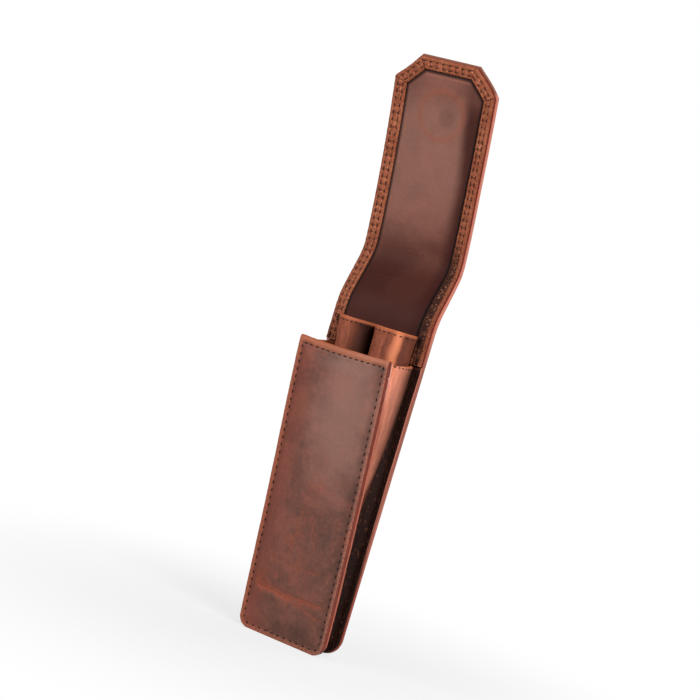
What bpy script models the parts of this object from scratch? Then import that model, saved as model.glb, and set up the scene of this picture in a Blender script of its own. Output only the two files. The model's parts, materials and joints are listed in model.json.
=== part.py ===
"""Leather pen case, standing open: a wedge-shaped pocket with a bellows gusset, two pen tunnels,
and a flap that closes over the front on two soft folds and a hidden magnet.

Metres, +Z up. The case stands on its bottom edge, its front faces -Y, and X = 0 halves it.
Each leather panel is modelled flat in its own frame: X across, Y along, Z from the outer face inwards.
"""

import math

import bmesh
import bpy
from mathutils import Vector

# Outline of the case
BACK_WIDTH = 0.0480
FRONT_WIDTH = 0.0430
FRONT_HEIGHT = 0.1250
BACK_HEIGHT = FRONT_HEIGHT + 0.0158
DEPTH_AT_BOTTOM = 0.0100
DEPTH_AT_MOUTH = 0.0255
FRONT_CORNER_RADIUS = 0.0050
BACK_CORNER_RADIUS = 0.0078
INNER_CORNER_RADIUS = 0.0006

# Flap, opened as it stands
TOP_STRIP_LENGTH = 0.0270
TOP_STRIP_LEAN = math.radians(17.1)
FLAP_LENGTH = 0.0850
FLAP_BEND = math.radians(27.8)
FLAP_CHAMFER = 0.0108
CLOSED_FLAP_LEAN = math.radians(4.2)

# Leather, board and magnets
COVER = 0.0013
BOARD = 0.0008
LINING = 0.0007
BORDER = 0.0024
GUSSET = 0.0011
SLEEVE = 0.0010
GLUE_LINE = 0.0003
EDGE_ROUNDING = 0.00025
BORDER_ROUNDING = 0.0005

# Border strips sewn round the lining
BORDER_REVEAL = 0.0004
BORDER_WIDTH = 0.0053
MITRE_SEAM = 0.0003

# Gusset: one strip between the front and the back
FLANGE_REVEAL = 0.0003
FLANGE_WIDTH = 0.0034
FLANGE_TURN = 0.0010
LINING_CLEARANCE = 0.0018
GUSSET_RISE = 0.0006
MOUTH_BULGE_INSET = 0.0008
MOUTH_CORNER_INSET = 0.0018
CORNER_FOLD_DEPTH = 0.0014
FOLD_DEPTH = 0.0028
FOLD_TOP = 0.0850
FOLD_FULL = 0.0400
FOLD_FOOT = 0.0200

# Shares of the way from the front flange to the back one, and of the inward fold's depth
FOLD_SHOULDER_SHARE = 0.36
FOLD_SHOULDER_DEPTH = 0.6
MOUTH_BULGE_SHARE = 0.17
MOUTH_CORNER_SHARE = 0.76

# Hem turned at the front panel's top edge
HEM_HEIGHT = 0.0060
HEM_THICKNESS = 0.0024
HEM_REVEAL = 0.0008

# Pen sleeve: one sheet sewn down at both edges and in the middle
SLEEVE_TOP = FRONT_HEIGHT + 0.0125
SLEEVE_BOTTOM = 0.0200
SLEEVE_DEPTH = 0.0120
SLEEVE_CLEARANCE = 0.0006
SLEEVE_SEAM = 0.0024
SLEEVE_OVERHANG = 0.0028
SLEEVE_NARROWING = 0.0030
ARCH_SIDE_FULLNESS = 0.8
ARCH_TOP_FULLNESS = 0.7

# Hidden closure: a disc magnet in the flap and a steel disc in the front
DISC_DIAMETER = 0.0200
DISC_THICKNESS = 0.0008
FLAP_MAGNET_FROM_FOLD = 0.0622
DISC_CLEARANCE = 0.0003

# Soft folds
FOLD_CLEARANCE = 0.0005

# Fineness of the curved shapes
CIRCLE_STEPS = 32
CORNER_STEPS = 6
ARCH_STEPS = 12
SECTION_STEPS = 2
GUSSET_BOTTOM_STEPS = 2
GUSSET_CORNER_STEPS = 5
GUSSET_SIDE_STEPS = 10
SLEEVE_STEPS = 9
SMOOTH_BAR = math.radians(40)
SMOOTH_SHEET = math.radians(50)
LEAST_COSINE = 0.7
WELD = 0.000001
MIRROR_WELD = 0.00002

PANEL = COVER + GLUE_LINE + BORDER
BOARD_DEPTH = COVER + GLUE_LINE
LINING_DEPTH = BOARD_DEPTH + BOARD + GLUE_LINE
STACK = LINING_DEPTH + LINING
FOLD_AXIS_DEPTH = PANEL / 2
FOLD_RADIUS = PANEL / 2
FOLD_SETBACK = FOLD_RADIUS + FOLD_CLEARANCE
FRONT_TILT = math.atan((DEPTH_AT_MOUTH - DEPTH_AT_BOTTOM) / FRONT_HEIGHT)
FRONT_LENGTH = FRONT_HEIGHT / math.cos(FRONT_TILT)
FLANGE_DEPTH = COVER + GLUE_LINE + GUSSET / 2
LAYER_INSET = FLANGE_REVEAL + FLANGE_WIDTH + LINING_CLEARANCE
BORDER_INNER = BORDER_REVEAL + BORDER_WIDTH
GUSSET_TOP = FRONT_HEIGHT + GUSSET_RISE

UPPER_FOLD_Y = TOP_STRIP_LENGTH * math.sin(TOP_STRIP_LEAN) - FOLD_AXIS_DEPTH
BACK_Y = (DEPTH_AT_MOUTH - UPPER_FOLD_Y - FOLD_RADIUS) / 2

COLLECTION = "Leather pen case"
HELPERS = "Joined shapes"


class Panel:
    """A frame in which one flat panel is modelled, with the level of its outer face."""

    def __init__(self, name, parent=None, location=(0, 0, 0), rotation=(0, 0, 0), outer_face=0.0):
        self.empty = bpy.data.objects.new(name, None)
        self.empty.empty_display_size = 0.01
        self.empty.location = location
        self.empty.rotation_euler = rotation
        self.empty.parent = parent.empty if parent else None
        self.outer_face = outer_face
        link(self.empty)


def clear_scene():
    for old in list(bpy.data.objects):
        bpy.data.objects.remove(old, do_unlink=True)


def new_collection(name):
    bpy.context.scene.collection.children.link(bpy.data.collections.new(name))


def link(item):
    bpy.data.collections[COLLECTION].objects.link(item)


def new_material(name, colour, roughness, metallic=0.0):
    material = bpy.data.materials.new(name)
    material.use_nodes = True
    shader = material.node_tree.nodes["Principled BSDF"]
    shader.inputs["Base Color"].default_value = (*colour, 1.0)
    shader.inputs["Roughness"].default_value = roughness
    shader.inputs["Metallic"].default_value = metallic
    material.diffuse_color = (*colour, 1.0)
    return material


def corner_arc(centre, radius, start, end):
    """Points on an arc, from angle start to angle end in degrees."""
    shares = [i / CORNER_STEPS for i in range(CORNER_STEPS + 1)]
    angles = [math.radians(blend(start, end, share)) for share in shares]
    return [(centre[0] + radius * math.cos(a), centre[1] + radius * math.sin(a)) for a in angles]


def pocket_outline(width, corner, inset, top):
    """A panel with rounded lower corners, drawn in by inset at its sides and bottom."""
    half = width / 2 - inset
    radius = max(corner - inset, INNER_CORNER_RADIUS)
    right = corner_arc((half - radius, inset + radius), radius, -90, 0)
    left = corner_arc((radius - half, inset + radius), radius, 180, 270)
    return left + right + [(half, top), (-half, top)]


def rectangle(left, right, bottom, top):
    return [(left, bottom), (right, bottom), (right, top), (left, top)]


def flap_outline(inset):
    """The flap's chamfered outline; the inset keeps the chamfers parallel."""
    half = BACK_WIDTH / 2 - inset
    tip = FLAP_LENGTH - inset
    slope_shift = inset * (math.sqrt(2) - 1) + FLAP_CHAMFER - inset
    return [
        (-half, FOLD_SETBACK),
        (half, FOLD_SETBACK),
        (half, tip - slope_shift),
        (half - slope_shift, tip),
        (slope_shift - half, tip),
        (-half, tip - slope_shift),
    ]


def circle(centre_y, radius):
    angles = [math.tau * i / CIRCLE_STEPS for i in range(CIRCLE_STEPS)]
    return [(radius * math.cos(a), centre_y + radius * math.sin(a)) for a in angles]


def flat_piece(name, panel, outlines, depth, thickness, material, rounding=EDGE_ROUNDING):
    """A sheet cut to an outline, with any further outlines as holes, and its edges rounded."""
    curve = bpy.data.curves.new(name, "CURVE")
    curve.dimensions = "2D"
    curve.fill_mode = "BOTH"
    curve.extrude = thickness / 2 - rounding
    curve.bevel_depth = rounding
    curve.bevel_resolution = 1
    curve.offset = -rounding
    for outline in outlines:
        spline = curve.splines.new("POLY")
        spline.points.add(len(outline) - 1)
        for point, (x, y) in zip(spline.points, outline):
            point.co = (x, y, 0, 1)
        spline.use_cyclic_u = True
    piece = bpy.data.objects.new(name, curve)
    piece.location.z = panel.outer_face + depth + thickness / 2
    return place(piece, panel, material)


def place(piece, panel, material):
    piece.data.materials.append(material)
    piece.parent = panel.empty
    link(piece)
    return piece


def as_mesh(piece):
    """The piece as a welded mesh object of the same name, so that a Boolean can use it."""
    bpy.context.view_layer.update()
    graph = bpy.context.evaluated_depsgraph_get()
    mesh = bpy.data.meshes.new_from_object(piece.evaluated_get(graph))
    edit = bmesh.new()
    edit.from_mesh(mesh)
    bmesh.ops.remove_doubles(edit, verts=edit.verts, dist=WELD)
    edit.to_mesh(mesh)
    edit.free()
    name = piece.name
    solid = bpy.data.objects.new(name + ".mesh", mesh)
    link(solid)
    solid.parent = piece.parent
    solid.matrix_world = piece.matrix_world
    bpy.data.objects.remove(piece, do_unlink=True)
    solid.name = name
    return solid


def round_bar(name, panel, location, radius, length, rounding, material, along_x=False):
    """A cylinder with rounded rims, in its panel's frame."""
    edit = bmesh.new()
    bmesh.ops.create_cone(
        edit, cap_ends=True, segments=CIRCLE_STEPS, radius1=radius, radius2=radius, depth=length
    )
    mesh = bpy.data.meshes.new(name)
    edit.to_mesh(mesh)
    edit.free()
    mesh.shade_smooth()
    mesh.set_sharp_from_angle(angle=SMOOTH_BAR)
    bar = bpy.data.objects.new(name, mesh)
    bar.location = location
    if along_x:
        bar.rotation_euler.y = math.radians(90)
    bevel = bar.modifiers.new("Rounded rims", "BEVEL")
    bevel.width = rounding
    bevel.segments = 2
    return place(bar, panel, material)


def mitred_strips(outer, inner):
    """One outline for each stretch of a border that follows an open chain of corners.

    The seams between neighbours lie on the lines from an outer to an inner corner.
    """
    strips = []
    last = len(outer) - 2
    for i in range(last + 1):
        start, end = Vector(outer[i]), Vector(outer[i + 1])
        inner_start, inner_end = Vector(inner[i]), Vector(inner[i + 1])
        along = (end - start).normalized()
        across = Vector((-along.y, along.x))
        first_shift = 0 if i == 0 else seam_shift(inner_start - start, across)
        last_shift = 0 if i == last else seam_shift(inner_end - end, across)
        strips.append(
            [
                start + along * first_shift,
                end - along * last_shift,
                inner_end - along * last_shift,
                inner_start + along * first_shift,
            ]
        )
    return strips


def seam_shift(seam, across):
    """How far an end moves along its strip to leave half of the seam's gap."""
    return MITRE_SEAM / 2 / abs(seam.normalized().dot(across))


def smooth_curve(points, steps):
    """A Catmull-Rom curve through 2D points."""
    ends = [points[0] * 2 - points[1], *points, points[-1] * 2 - points[-2]]
    curve = []
    for i in range(1, len(ends) - 2):
        before, start, end, after = ends[i - 1 : i + 3]
        for step in range(steps):
            t = step / steps
            curve.append(
                0.5
                * (
                    2 * start
                    + (end - before) * t
                    + (2 * before - 5 * start + 4 * end - after) * t**2
                    + (3 * start - before - 3 * end + after) * t**3
                )
            )
    curve.append(points[-1])
    return curve


def sheet_section(points, thickness):
    """The two faces of a sheet whose middle runs through 2D points."""
    sides = ([], [])
    for i, point in enumerate(points):
        before = (point - points[max(i - 1, 0)]).normalized()
        after = (points[min(i + 1, len(points) - 1)] - point).normalized()
        along = (before + after).normalized()
        normal = Vector((-along.y, along.x))
        cosine = max(along.dot(after if i == 0 else before), LEAST_COSINE)
        for side, sign in zip(sides, (1, -1)):
            side.append(point + normal * sign * thickness / 2 / cosine)
    return sides


def lofted_sheet(name, panel, sections, material, open_start=False, capped_first=True):
    """A bent sheet through sections, each a pair of faces as lists of 3D points.

    The half that a Mirror completes is open at X = 0: its sections start there with open_start,
    or its first section lies there without a cap.
    """
    edit = bmesh.new()
    rings = [[[edit.verts.new(p) for p in side] for side in section] for section in sections]
    for ring, following in zip(rings, rings[1:]):
        for side, next_side in zip(ring, following):
            for i in range(len(side) - 1):
                edit.faces.new((side[i], side[i + 1], next_side[i + 1], next_side[i]))
        for end in (-1,) if open_start else (0, -1):
            edit.faces.new((ring[0][end], ring[1][end], following[1][end], following[0][end]))
    for ring in ([rings[0]] if capped_first else []) + [rings[-1]]:
        for i in range(len(ring[0]) - 1):
            edit.faces.new((ring[0][i], ring[0][i + 1], ring[1][i + 1], ring[1][i]))
    bmesh.ops.recalc_face_normals(edit, faces=edit.faces)
    mesh = bpy.data.meshes.new(name)
    edit.to_mesh(mesh)
    edit.free()
    mesh.shade_smooth()
    mesh.set_sharp_from_angle(angle=SMOOTH_SHEET)
    piece = bpy.data.objects.new(name, mesh)
    mirror = piece.modifiers.new("Other half", "MIRROR")
    mirror.merge_threshold = MIRROR_WELD
    return place(piece, panel, material)


def blend(start, end, share):
    return start + (end - start) * share


def smooth_step(value, low, high):
    share = min(max((value - low) / (high - low), 0), 1)
    return share * share * (3 - 2 * share)


def front_depth(height, depth=0.0):
    """How far in front of the back's outer face the front panel lies, at a depth inside it."""
    return DEPTH_AT_BOTTOM + height * math.tan(FRONT_TILT) - depth / math.cos(FRONT_TILT)


def front_point(across, along, depth):
    """A point of the front panel in the back panel's frame."""
    height = along * math.cos(FRONT_TILT) + depth * math.sin(FRONT_TILT)
    return Vector((across, height, front_depth(height, depth)))


def edge_station(width, corner, stretch, value):
    """A point on a pocket panel's edge and the direction in from it.

    The stretch is the bottom, a corner or a side; value is a share, an angle or a height there.
    """
    straight = width / 2 - corner
    if stretch == "bottom":
        return Vector((straight * value, 0)), Vector((0, 1))
    if stretch == "corner":
        outwards = Vector((math.sin(value), -math.cos(value)))
        return Vector((straight, corner)) + outwards * corner, -outwards
    return Vector((width / 2, value)), Vector((-1, 0))


def gusset_middle(height, depth):
    """The gusset's section as (inset from the panels' edge, distance behind the front flange)."""
    opened = smooth_step(height, FOLD_FULL, FRONT_HEIGHT)
    deepest = blend(CORNER_FOLD_DEPTH, FOLD_DEPTH, smooth_step(height, BACK_CORNER_RADIUS, FOLD_FOOT))
    fold = deepest * (1 - smooth_step(height, FOLD_FULL, FOLD_TOP))
    turn = FLANGE_REVEAL + FLANGE_WIDTH
    inner = turn + fold * FOLD_SHOULDER_DEPTH
    bulge_share = blend(FOLD_SHOULDER_SHARE, MOUTH_BULGE_SHARE, opened)
    corner_share = blend(1 - FOLD_SHOULDER_SHARE, MOUTH_CORNER_SHARE, opened)
    points = [
        (FLANGE_REVEAL, 0),
        (turn - FLANGE_TURN, 0),
        (turn, FLANGE_TURN),
        (blend(inner, MOUTH_BULGE_INSET + FLANGE_REVEAL, opened), bulge_share * depth),
        (blend(turn + fold, MOUTH_BULGE_INSET, opened), depth / 2),
        (blend(inner, MOUTH_CORNER_INSET, opened), corner_share * depth),
        (turn, depth - FLANGE_TURN),
        (turn - FLANGE_TURN, depth),
        (FLANGE_REVEAL, depth),
    ]
    return smooth_curve([Vector(p) for p in points], SECTION_STEPS)


def gusset_section(stretch, value):
    """The gusset's two faces at one place along the panels' edges."""
    share = value
    if stretch == "side":
        share = (value - FLANGE_DEPTH * math.sin(FRONT_TILT)) / math.cos(FRONT_TILT)
    front, front_inwards = edge_station(FRONT_WIDTH, FRONT_CORNER_RADIUS, stretch, share)
    back, back_inwards = edge_station(BACK_WIDTH, BACK_CORNER_RADIUS, stretch, value)
    depth = front_depth(back.y, FLANGE_DEPTH) - FLANGE_DEPTH
    faces = []
    for side in sheet_section(gusset_middle(back.y, depth), GUSSET):
        face = []
        for inset, behind in side:
            on_front = front + front_inwards * inset
            on_back = back + back_inwards * inset
            start = front_point(on_front.x, on_front.y, FLANGE_DEPTH)
            end = Vector((on_back.x, on_back.y, FLANGE_DEPTH))
            face.append(blend(start, end, behind / depth))
        faces.append(face)
    return faces


def make_gusset(panel, material):
    stations = [("bottom", i / GUSSET_BOTTOM_STEPS) for i in range(GUSSET_BOTTOM_STEPS)]
    for i in range(GUSSET_CORNER_STEPS + 1):
        stations.append(("corner", math.radians(90) * i / GUSSET_CORNER_STEPS))
    for i in range(1, GUSSET_SIDE_STEPS + 1):
        stations.append(("side", blend(BACK_CORNER_RADIUS, GUSSET_TOP, i / GUSSET_SIDE_STEPS)))
    sections = [gusset_section(stretch, value) for stretch, value in stations]
    return lofted_sheet("gusset", panel, sections, material, capped_first=False)


def sleeve_section(height):
    """The pen sleeve's two faces at a height: half a seam, then one tunnel's arch."""
    room = front_depth(height, STACK) - STACK - SLEEVE_CLEARANCE
    narrow = 1 - smooth_step(height, FOLD_FULL, FOLD_TOP)
    rise = min(SLEEVE_DEPTH, room - GLUE_LINE) - SLEEVE
    foot = BACK_WIDTH / 2 - BORDER_INNER - GLUE_LINE - SLEEVE / 2 - SLEEVE_NARROWING * narrow
    middle = (SLEEVE_SEAM / 2 + foot) / 2
    reach = foot - middle
    points = [Vector((0, 0))]
    for i in range(ARCH_STEPS + 1):
        angle = math.pi * (1 - i / ARCH_STEPS)
        across = math.copysign(abs(math.cos(angle)) ** ARCH_SIDE_FULLNESS, math.cos(angle))
        overhang = 2 * SLEEVE_OVERHANG * (1 - narrow) * max(across, 0) * math.sin(angle)
        lift = rise * math.sin(angle) ** ARCH_TOP_FULLNESS
        points.append(Vector((middle + reach * across + overhang, lift)))
    points.append(Vector((foot, -SLEEVE / 2)))
    base = STACK + GLUE_LINE + SLEEVE / 2
    return [
        [Vector((max(x, 0.0) if i else 0.0, height, base + y)) for i, (x, y) in enumerate(side)]
        for side in sheet_section(points, SLEEVE)
    ]


def make_sleeve(panel, material):
    shares = [i / SLEEVE_STEPS for i in range(SLEEVE_STEPS + 1)]
    sections = [sleeve_section(blend(SLEEVE_BOTTOM, SLEEVE_TOP, share)) for share in shares]
    return lofted_sheet("pen_sleeve", panel, sections, material, open_start=True)


def stepped_outline(step, top):
    """The back's inner layers: wide below the gusset's top, and between the border strips above it."""
    upper_half = BACK_WIDTH / 2 - BORDER_INNER - GLUE_LINE
    *lower, left_shoulder = pocket_outline(BACK_WIDTH, BACK_CORNER_RADIUS, LAYER_INSET, step)
    upper = [(upper_half, step), (upper_half, top), (-upper_half, top), (-upper_half, step)]
    return [*lower, *upper, left_shoulder]


def make_back(panel, finish):
    top = BACK_HEIGHT - FOLD_SETBACK
    step = GUSSET_TOP + GLUE_LINE
    inner = stepped_outline(step, top)
    whole = pocket_outline(BACK_WIDTH, BACK_CORNER_RADIUS, 0, top)
    flat_piece("back_cover", panel, [whole], 0, COVER, finish["cover"])
    flat_piece("back_board", panel, [inner], BOARD_DEPTH, BOARD, finish["board"])
    flat_piece("back_lining", panel, [inner], LINING_DEPTH, LINING, finish["lining"])
    make_side_borders("back_border", panel, step, top, finish["border"])
    round_bar(
        "lower_fold",
        panel,
        (0, BACK_HEIGHT, FOLD_AXIS_DEPTH),
        FOLD_RADIUS,
        BACK_WIDTH,
        BORDER_ROUNDING,
        finish["cover"],
        along_x=True,
    )


def make_side_borders(name, panel, bottom, top, material):
    """A strip along each side of a panel, between two heights."""
    inner = BACK_WIDTH / 2 - BORDER_INNER
    outer = BACK_WIDTH / 2 - BORDER_REVEAL
    for side, left, right in (("left", -outer, -inner), ("right", inner, outer)):
        strip = rectangle(left, right, bottom, top)
        flat_piece(f"{name}_{side}", panel, [strip], BOARD_DEPTH, BORDER, material, BORDER_ROUNDING)


def make_front(panel, finish):
    whole = pocket_outline(FRONT_WIDTH, FRONT_CORNER_RADIUS, 0, FRONT_LENGTH)
    cover = as_mesh(flat_piece("front_cover", panel, [whole], 0, COVER, finish["cover"]))
    hem_half = FRONT_WIDTH / 2 - LAYER_INSET
    hem_bottom = FRONT_LENGTH - HEM_HEIGHT
    hem_outline = rectangle(-hem_half, hem_half, hem_bottom, FRONT_LENGTH - EDGE_ROUNDING)
    hem = as_mesh(
        flat_piece("hem", panel, [hem_outline], COVER / 2, HEM_THICKNESS - COVER / 2, finish["cover"])
    )
    unite(cover, hem)

    magnet_drop = FLAP_MAGNET_FROM_FOLD * math.cos(CLOSED_FLAP_LEAN)
    disc_height = (BACK_HEIGHT - magnet_drop) / math.cos(FRONT_TILT)
    board = pocket_outline(FRONT_WIDTH, FRONT_CORNER_RADIUS, LAYER_INSET, hem_bottom - GLUE_LINE)
    make_board_and_disc("front", panel, board, disc_height, finish)
    lining = pocket_outline(FRONT_WIDTH, FRONT_CORNER_RADIUS, LAYER_INSET, FRONT_LENGTH - HEM_REVEAL)
    flat_piece("front_lining", panel, [lining], LINING_DEPTH, LINING, finish["lining"])


def make_board_and_disc(name, panel, outline, disc_height, finish):
    """A stiffener with a round hole, and the disc of the hidden closure in it."""
    hole = circle(disc_height, DISC_DIAMETER / 2 + DISC_CLEARANCE)
    flat_piece(f"{name}_board", panel, [outline, hole], BOARD_DEPTH, BOARD, finish["board"])
    round_bar(
        f"{name}_magnet",
        panel,
        (0, disc_height, panel.outer_face + BOARD_DEPTH + DISC_THICKNESS / 2),
        DISC_DIAMETER / 2,
        DISC_THICKNESS,
        EDGE_ROUNDING,
        finish["magnet"],
    )


def unite(piece, addition):
    join = piece.modifiers.new("Hem", "BOOLEAN")
    join.operation = "UNION"
    join.object = addition
    addition.hide_render = True
    addition.display_type = "WIRE"
    for holder in addition.users_collection:
        holder.objects.unlink(addition)
    bpy.data.collections[HELPERS].objects.link(addition)


def make_top_strip(panel, finish):
    bottom = FOLD_SETBACK
    top = TOP_STRIP_LENGTH - FOLD_SETBACK
    half = BACK_WIDTH / 2
    inner_half = half - BORDER_INNER - GLUE_LINE
    whole = rectangle(-half, half, bottom, top)
    inner = rectangle(-inner_half, inner_half, bottom, top)
    flat_piece("top_cover", panel, [whole], 0, COVER, finish["cover"])
    flat_piece("top_board", panel, [inner], BOARD_DEPTH, BOARD, finish["board"])
    flat_piece("top_lining", panel, [inner], LINING_DEPTH, LINING, finish["lining"])
    make_side_borders("top_border", panel, bottom, top, finish["border"])
    round_bar(
        "upper_fold",
        panel,
        (0, TOP_STRIP_LENGTH, 0),
        FOLD_RADIUS,
        BACK_WIDTH,
        BORDER_ROUNDING,
        finish["cover"],
        along_x=True,
    )


def make_flap(panel, finish):
    inner = flap_outline(BORDER_INNER + GLUE_LINE)
    flat_piece("flap_cover", panel, [flap_outline(0)], 0, COVER, finish["cover"])
    make_board_and_disc("flap", panel, inner, FLAP_MAGNET_FROM_FOLD, finish)
    flat_piece("flap_lining", panel, [inner], LINING_DEPTH, LINING, finish["lining"])
    left_bottom, *rest = flap_outline(BORDER_REVEAL)
    inner_left_bottom, *inner_rest = flap_outline(BORDER_INNER)
    strips = mitred_strips([*rest, left_bottom], [*inner_rest, inner_left_bottom])
    names = ("right", "right_corner", "tip", "left_corner", "left")
    for name, strip in zip(names, strips):
        border = f"flap_border_{name}"
        flat_piece(border, panel, [strip], BOARD_DEPTH, BORDER, finish["border"], BORDER_ROUNDING)


def main():
    clear_scene()
    new_collection(COLLECTION)
    new_collection(HELPERS)
    finish = {
        "cover": new_material("Oiled leather", (0.190, 0.066, 0.042), 0.45),
        "lining": new_material("Smooth lining leather", (0.114, 0.034, 0.022), 0.40),
        "border": new_material("Border leather", (0.400, 0.130, 0.062), 0.50),
        "gusset": new_material("Gusset leather", (0.450, 0.160, 0.085), 0.50),
        "board": new_material("Grey board", (0.305, 0.242, 0.171), 0.85),
        "magnet": new_material("Nickel plate", (0.600, 0.590, 0.560), 0.30, 1.0),
    }

    pocket = Panel("pocket", location=(0, BACK_Y, 0), rotation=(math.radians(90), 0, 0))
    front = Panel(
        "front",
        parent=pocket,
        location=(0, 0, DEPTH_AT_BOTTOM),
        rotation=(-FRONT_TILT, math.pi, 0),
    )
    top_strip = Panel(
        "top_strip",
        parent=pocket,
        location=(0, BACK_HEIGHT, FOLD_AXIS_DEPTH),
        rotation=(-TOP_STRIP_LEAN, 0, 0),
        outer_face=-FOLD_AXIS_DEPTH,
    )
    flap = Panel(
        "flap",
        parent=top_strip,
        location=(0, TOP_STRIP_LENGTH, 0),
        rotation=(FLAP_BEND, 0, 0),
        outer_face=-FOLD_AXIS_DEPTH,
    )

    make_back(pocket, finish)
    make_front(front, finish)
    make_gusset(pocket, finish["gusset"])
    make_sleeve(pocket, finish["gusset"])
    make_top_strip(top_strip, finish)
    make_flap(flap, finish)


main()
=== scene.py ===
"""Looks of a leather pen case: its leathers, seams and studio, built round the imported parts.

Flat pieces are cut and shaped in the leather's own flat frame: X across, Y along the leather from
the foot of the case, Z towards the front. They are then bent to the case's side profile, or leant
against the front of the pocket. Lengths are in metres, and in millimetres inside the materials.
"""

import json
import math

import bmesh
import bpy
import numpy as np
from bpy.props import FloatProperty, FloatVectorProperty, PointerProperty
from mathutils import Matrix, Vector, noise


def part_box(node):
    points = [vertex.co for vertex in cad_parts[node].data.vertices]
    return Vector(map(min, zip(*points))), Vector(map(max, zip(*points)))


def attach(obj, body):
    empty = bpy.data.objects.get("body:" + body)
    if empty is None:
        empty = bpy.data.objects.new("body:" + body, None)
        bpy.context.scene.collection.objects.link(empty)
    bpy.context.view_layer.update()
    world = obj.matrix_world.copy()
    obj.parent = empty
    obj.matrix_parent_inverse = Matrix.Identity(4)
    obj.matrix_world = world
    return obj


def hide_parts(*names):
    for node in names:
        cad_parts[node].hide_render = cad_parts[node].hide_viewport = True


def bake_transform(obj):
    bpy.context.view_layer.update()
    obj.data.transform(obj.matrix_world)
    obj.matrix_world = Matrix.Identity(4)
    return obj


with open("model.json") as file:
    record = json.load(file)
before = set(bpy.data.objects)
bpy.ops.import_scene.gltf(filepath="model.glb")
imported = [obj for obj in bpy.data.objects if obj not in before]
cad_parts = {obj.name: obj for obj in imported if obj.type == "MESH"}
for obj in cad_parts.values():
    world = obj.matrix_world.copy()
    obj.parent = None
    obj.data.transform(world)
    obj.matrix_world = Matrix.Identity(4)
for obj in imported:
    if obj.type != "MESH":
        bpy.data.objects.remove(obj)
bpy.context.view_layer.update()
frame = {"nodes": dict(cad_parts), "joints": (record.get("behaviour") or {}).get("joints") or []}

bl_info = {
    "name": "Leather pen case",
    "version": (1, 0, 0),
    "blender": (4, 5, 0),
    "location": "3D View > Sidebar > Pen case",
    "description": "Builds the leather, the seams and the studio of a pen case round its packed parts",
    "category": "Object",
}

MM = 0.001
LOWER_FOLD = Vector(frame["joints"][0]["pos_m"])
UPPER_FOLD = Vector(frame["joints"][1]["pos_m"])

# The back: its outer face, the leather's middle, which the folds turn about, and its width
BACK_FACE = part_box("back_cover")[1].y
MIDDLE = BACK_FACE - LOWER_FOLD.y
HALF_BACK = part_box("back_cover")[1].x
BACK_CORNER = 7.8 * MM
BACK_FOOT = 1.0 * MM

# The front leans outwards from its foot, and its turned edge ends a little under the solid's
HALF_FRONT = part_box("front_cover")[1].x
FRONT_CORNER = 4.9 * MM
FRONT_FOOT = 10.0 * MM
EDGE_DROP = 0.3 * MM
MOUTH_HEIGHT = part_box("front_cover")[1].z - EDGE_DROP
MOUTH_DEPTH = BACK_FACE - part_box("front_cover")[0].y
FRONT_TILT = math.atan((MOUTH_DEPTH - FRONT_FOOT) / MOUTH_HEIGHT)
FRONT_LENGTH = MOUTH_HEIGHT / math.cos(FRONT_TILT)

# The flap, its lean back from upright, and the magnet in it
FLAP_LENGTH = 85.0 * MM
FLAP_CHAMFER = 10.8 * MM
FLAP_LEAN = math.radians(10.7)
MAGNET_FROM_FOLD = 62.2 * MM
MAGNET_RADIUS = 10.0 * MM

# Soft bends: the strip's lean between the folds, how far above the lower fold it really bends, half
# the length of each bend, and how far on each side of a fold a piece takes part in its turning
STRIP_BEND_RISE = 4.2 * MM
LOWER_BEND = 7.0 * MM
UPPER_BEND = 6.0 * MM

# What use has done: the front's bow and its flare to the left, the sag of its mouth, both sides of
# the back drawn to the left, what lies between them pushed to the right, and the flap's skew
FRONT_BOW = 0.03
LEFT_FLARE = 1.15 * MM
MOUTH_SAG = 0.5 * MM
LEFT_DRAWN = 1.38 * MM
LEFT_DRAWN_OVER = (30 * MM, 128 * MM)
RIGHT_DRAWN = 0.35 * MM
WINDOW_SHIFT = 1.6 * MM
FLAP_SKEW = 0.025

# Layers of the back and flap, as levels in front of the outer face
COVER_LEVELS = (0.0, 1.3 * MM)
BOARD_LEVELS = (1.4 * MM, 2.1 * MM)
LINING_LEVELS = (2.2 * MM, 3.4 * MM)
BORDER_LEVELS = (1.4 * MM, 4.0 * MM)
MAGNET_LIFT = 0.06 * MM

# Sheets: the outer leather's edge that shows outside the border, the feet of the border and the
# lining, the lining's distance from the edge, and how far a sheet is first made past its split
BORDER_REVEAL = 0.7 * MM
BORDER_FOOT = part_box("back_border_left")[0].z
LINING_FOOT = 5.5 * MM
LINING_MARGIN = 5.85 * MM
SHEET_OVERRUN = 6.0 * MM

# Edges: the gap of a mitre, and the roundings of the border's shoulder, its inner side and a rim
MITRE_SEAM = 0.3 * MM
SHOULDER = 1.1 * MM
INNER_ROUNDING = 0.7 * MM
RIM_ROUNDING = 0.28 * MM

# Gusset and sleeve: their leather and ends, and their hems with the mesh lines that follow them
GUSSET_LEATHER = 1.1 * MM
GUSSET_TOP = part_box("gusset")[1].z
SLEEVE_LEATHER = 1.0 * MM
SLEEVE_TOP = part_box("pen_sleeve")[1].z
SLEEVE_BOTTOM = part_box("pen_sleeve")[0].z
SOFT_HEM = 2.9 * MM
HEM_ZONE = 3 * MM
HEM_STEP = 0.75 * MM

# Seams: how far the back's seam and the border's rows lie from the edges beside them, and the steps
# from stitch to stitch of the long rows, the hem and the mouth
BACK_SEAM = 1.75 * MM
OUTER_ROW = 1.6 * MM
INNER_ROW = 1.3 * MM
SEAM_PITCH = 3.25 * MM
HEM_PITCH = 2.75 * MM
MOUTH_PITCH = 2.3 * MM

# How near points count as one, and up to what angle in degrees an edge counts as soft
TOUCHING = 0.01 * MM
SOFT_ANGLE = 60

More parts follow.
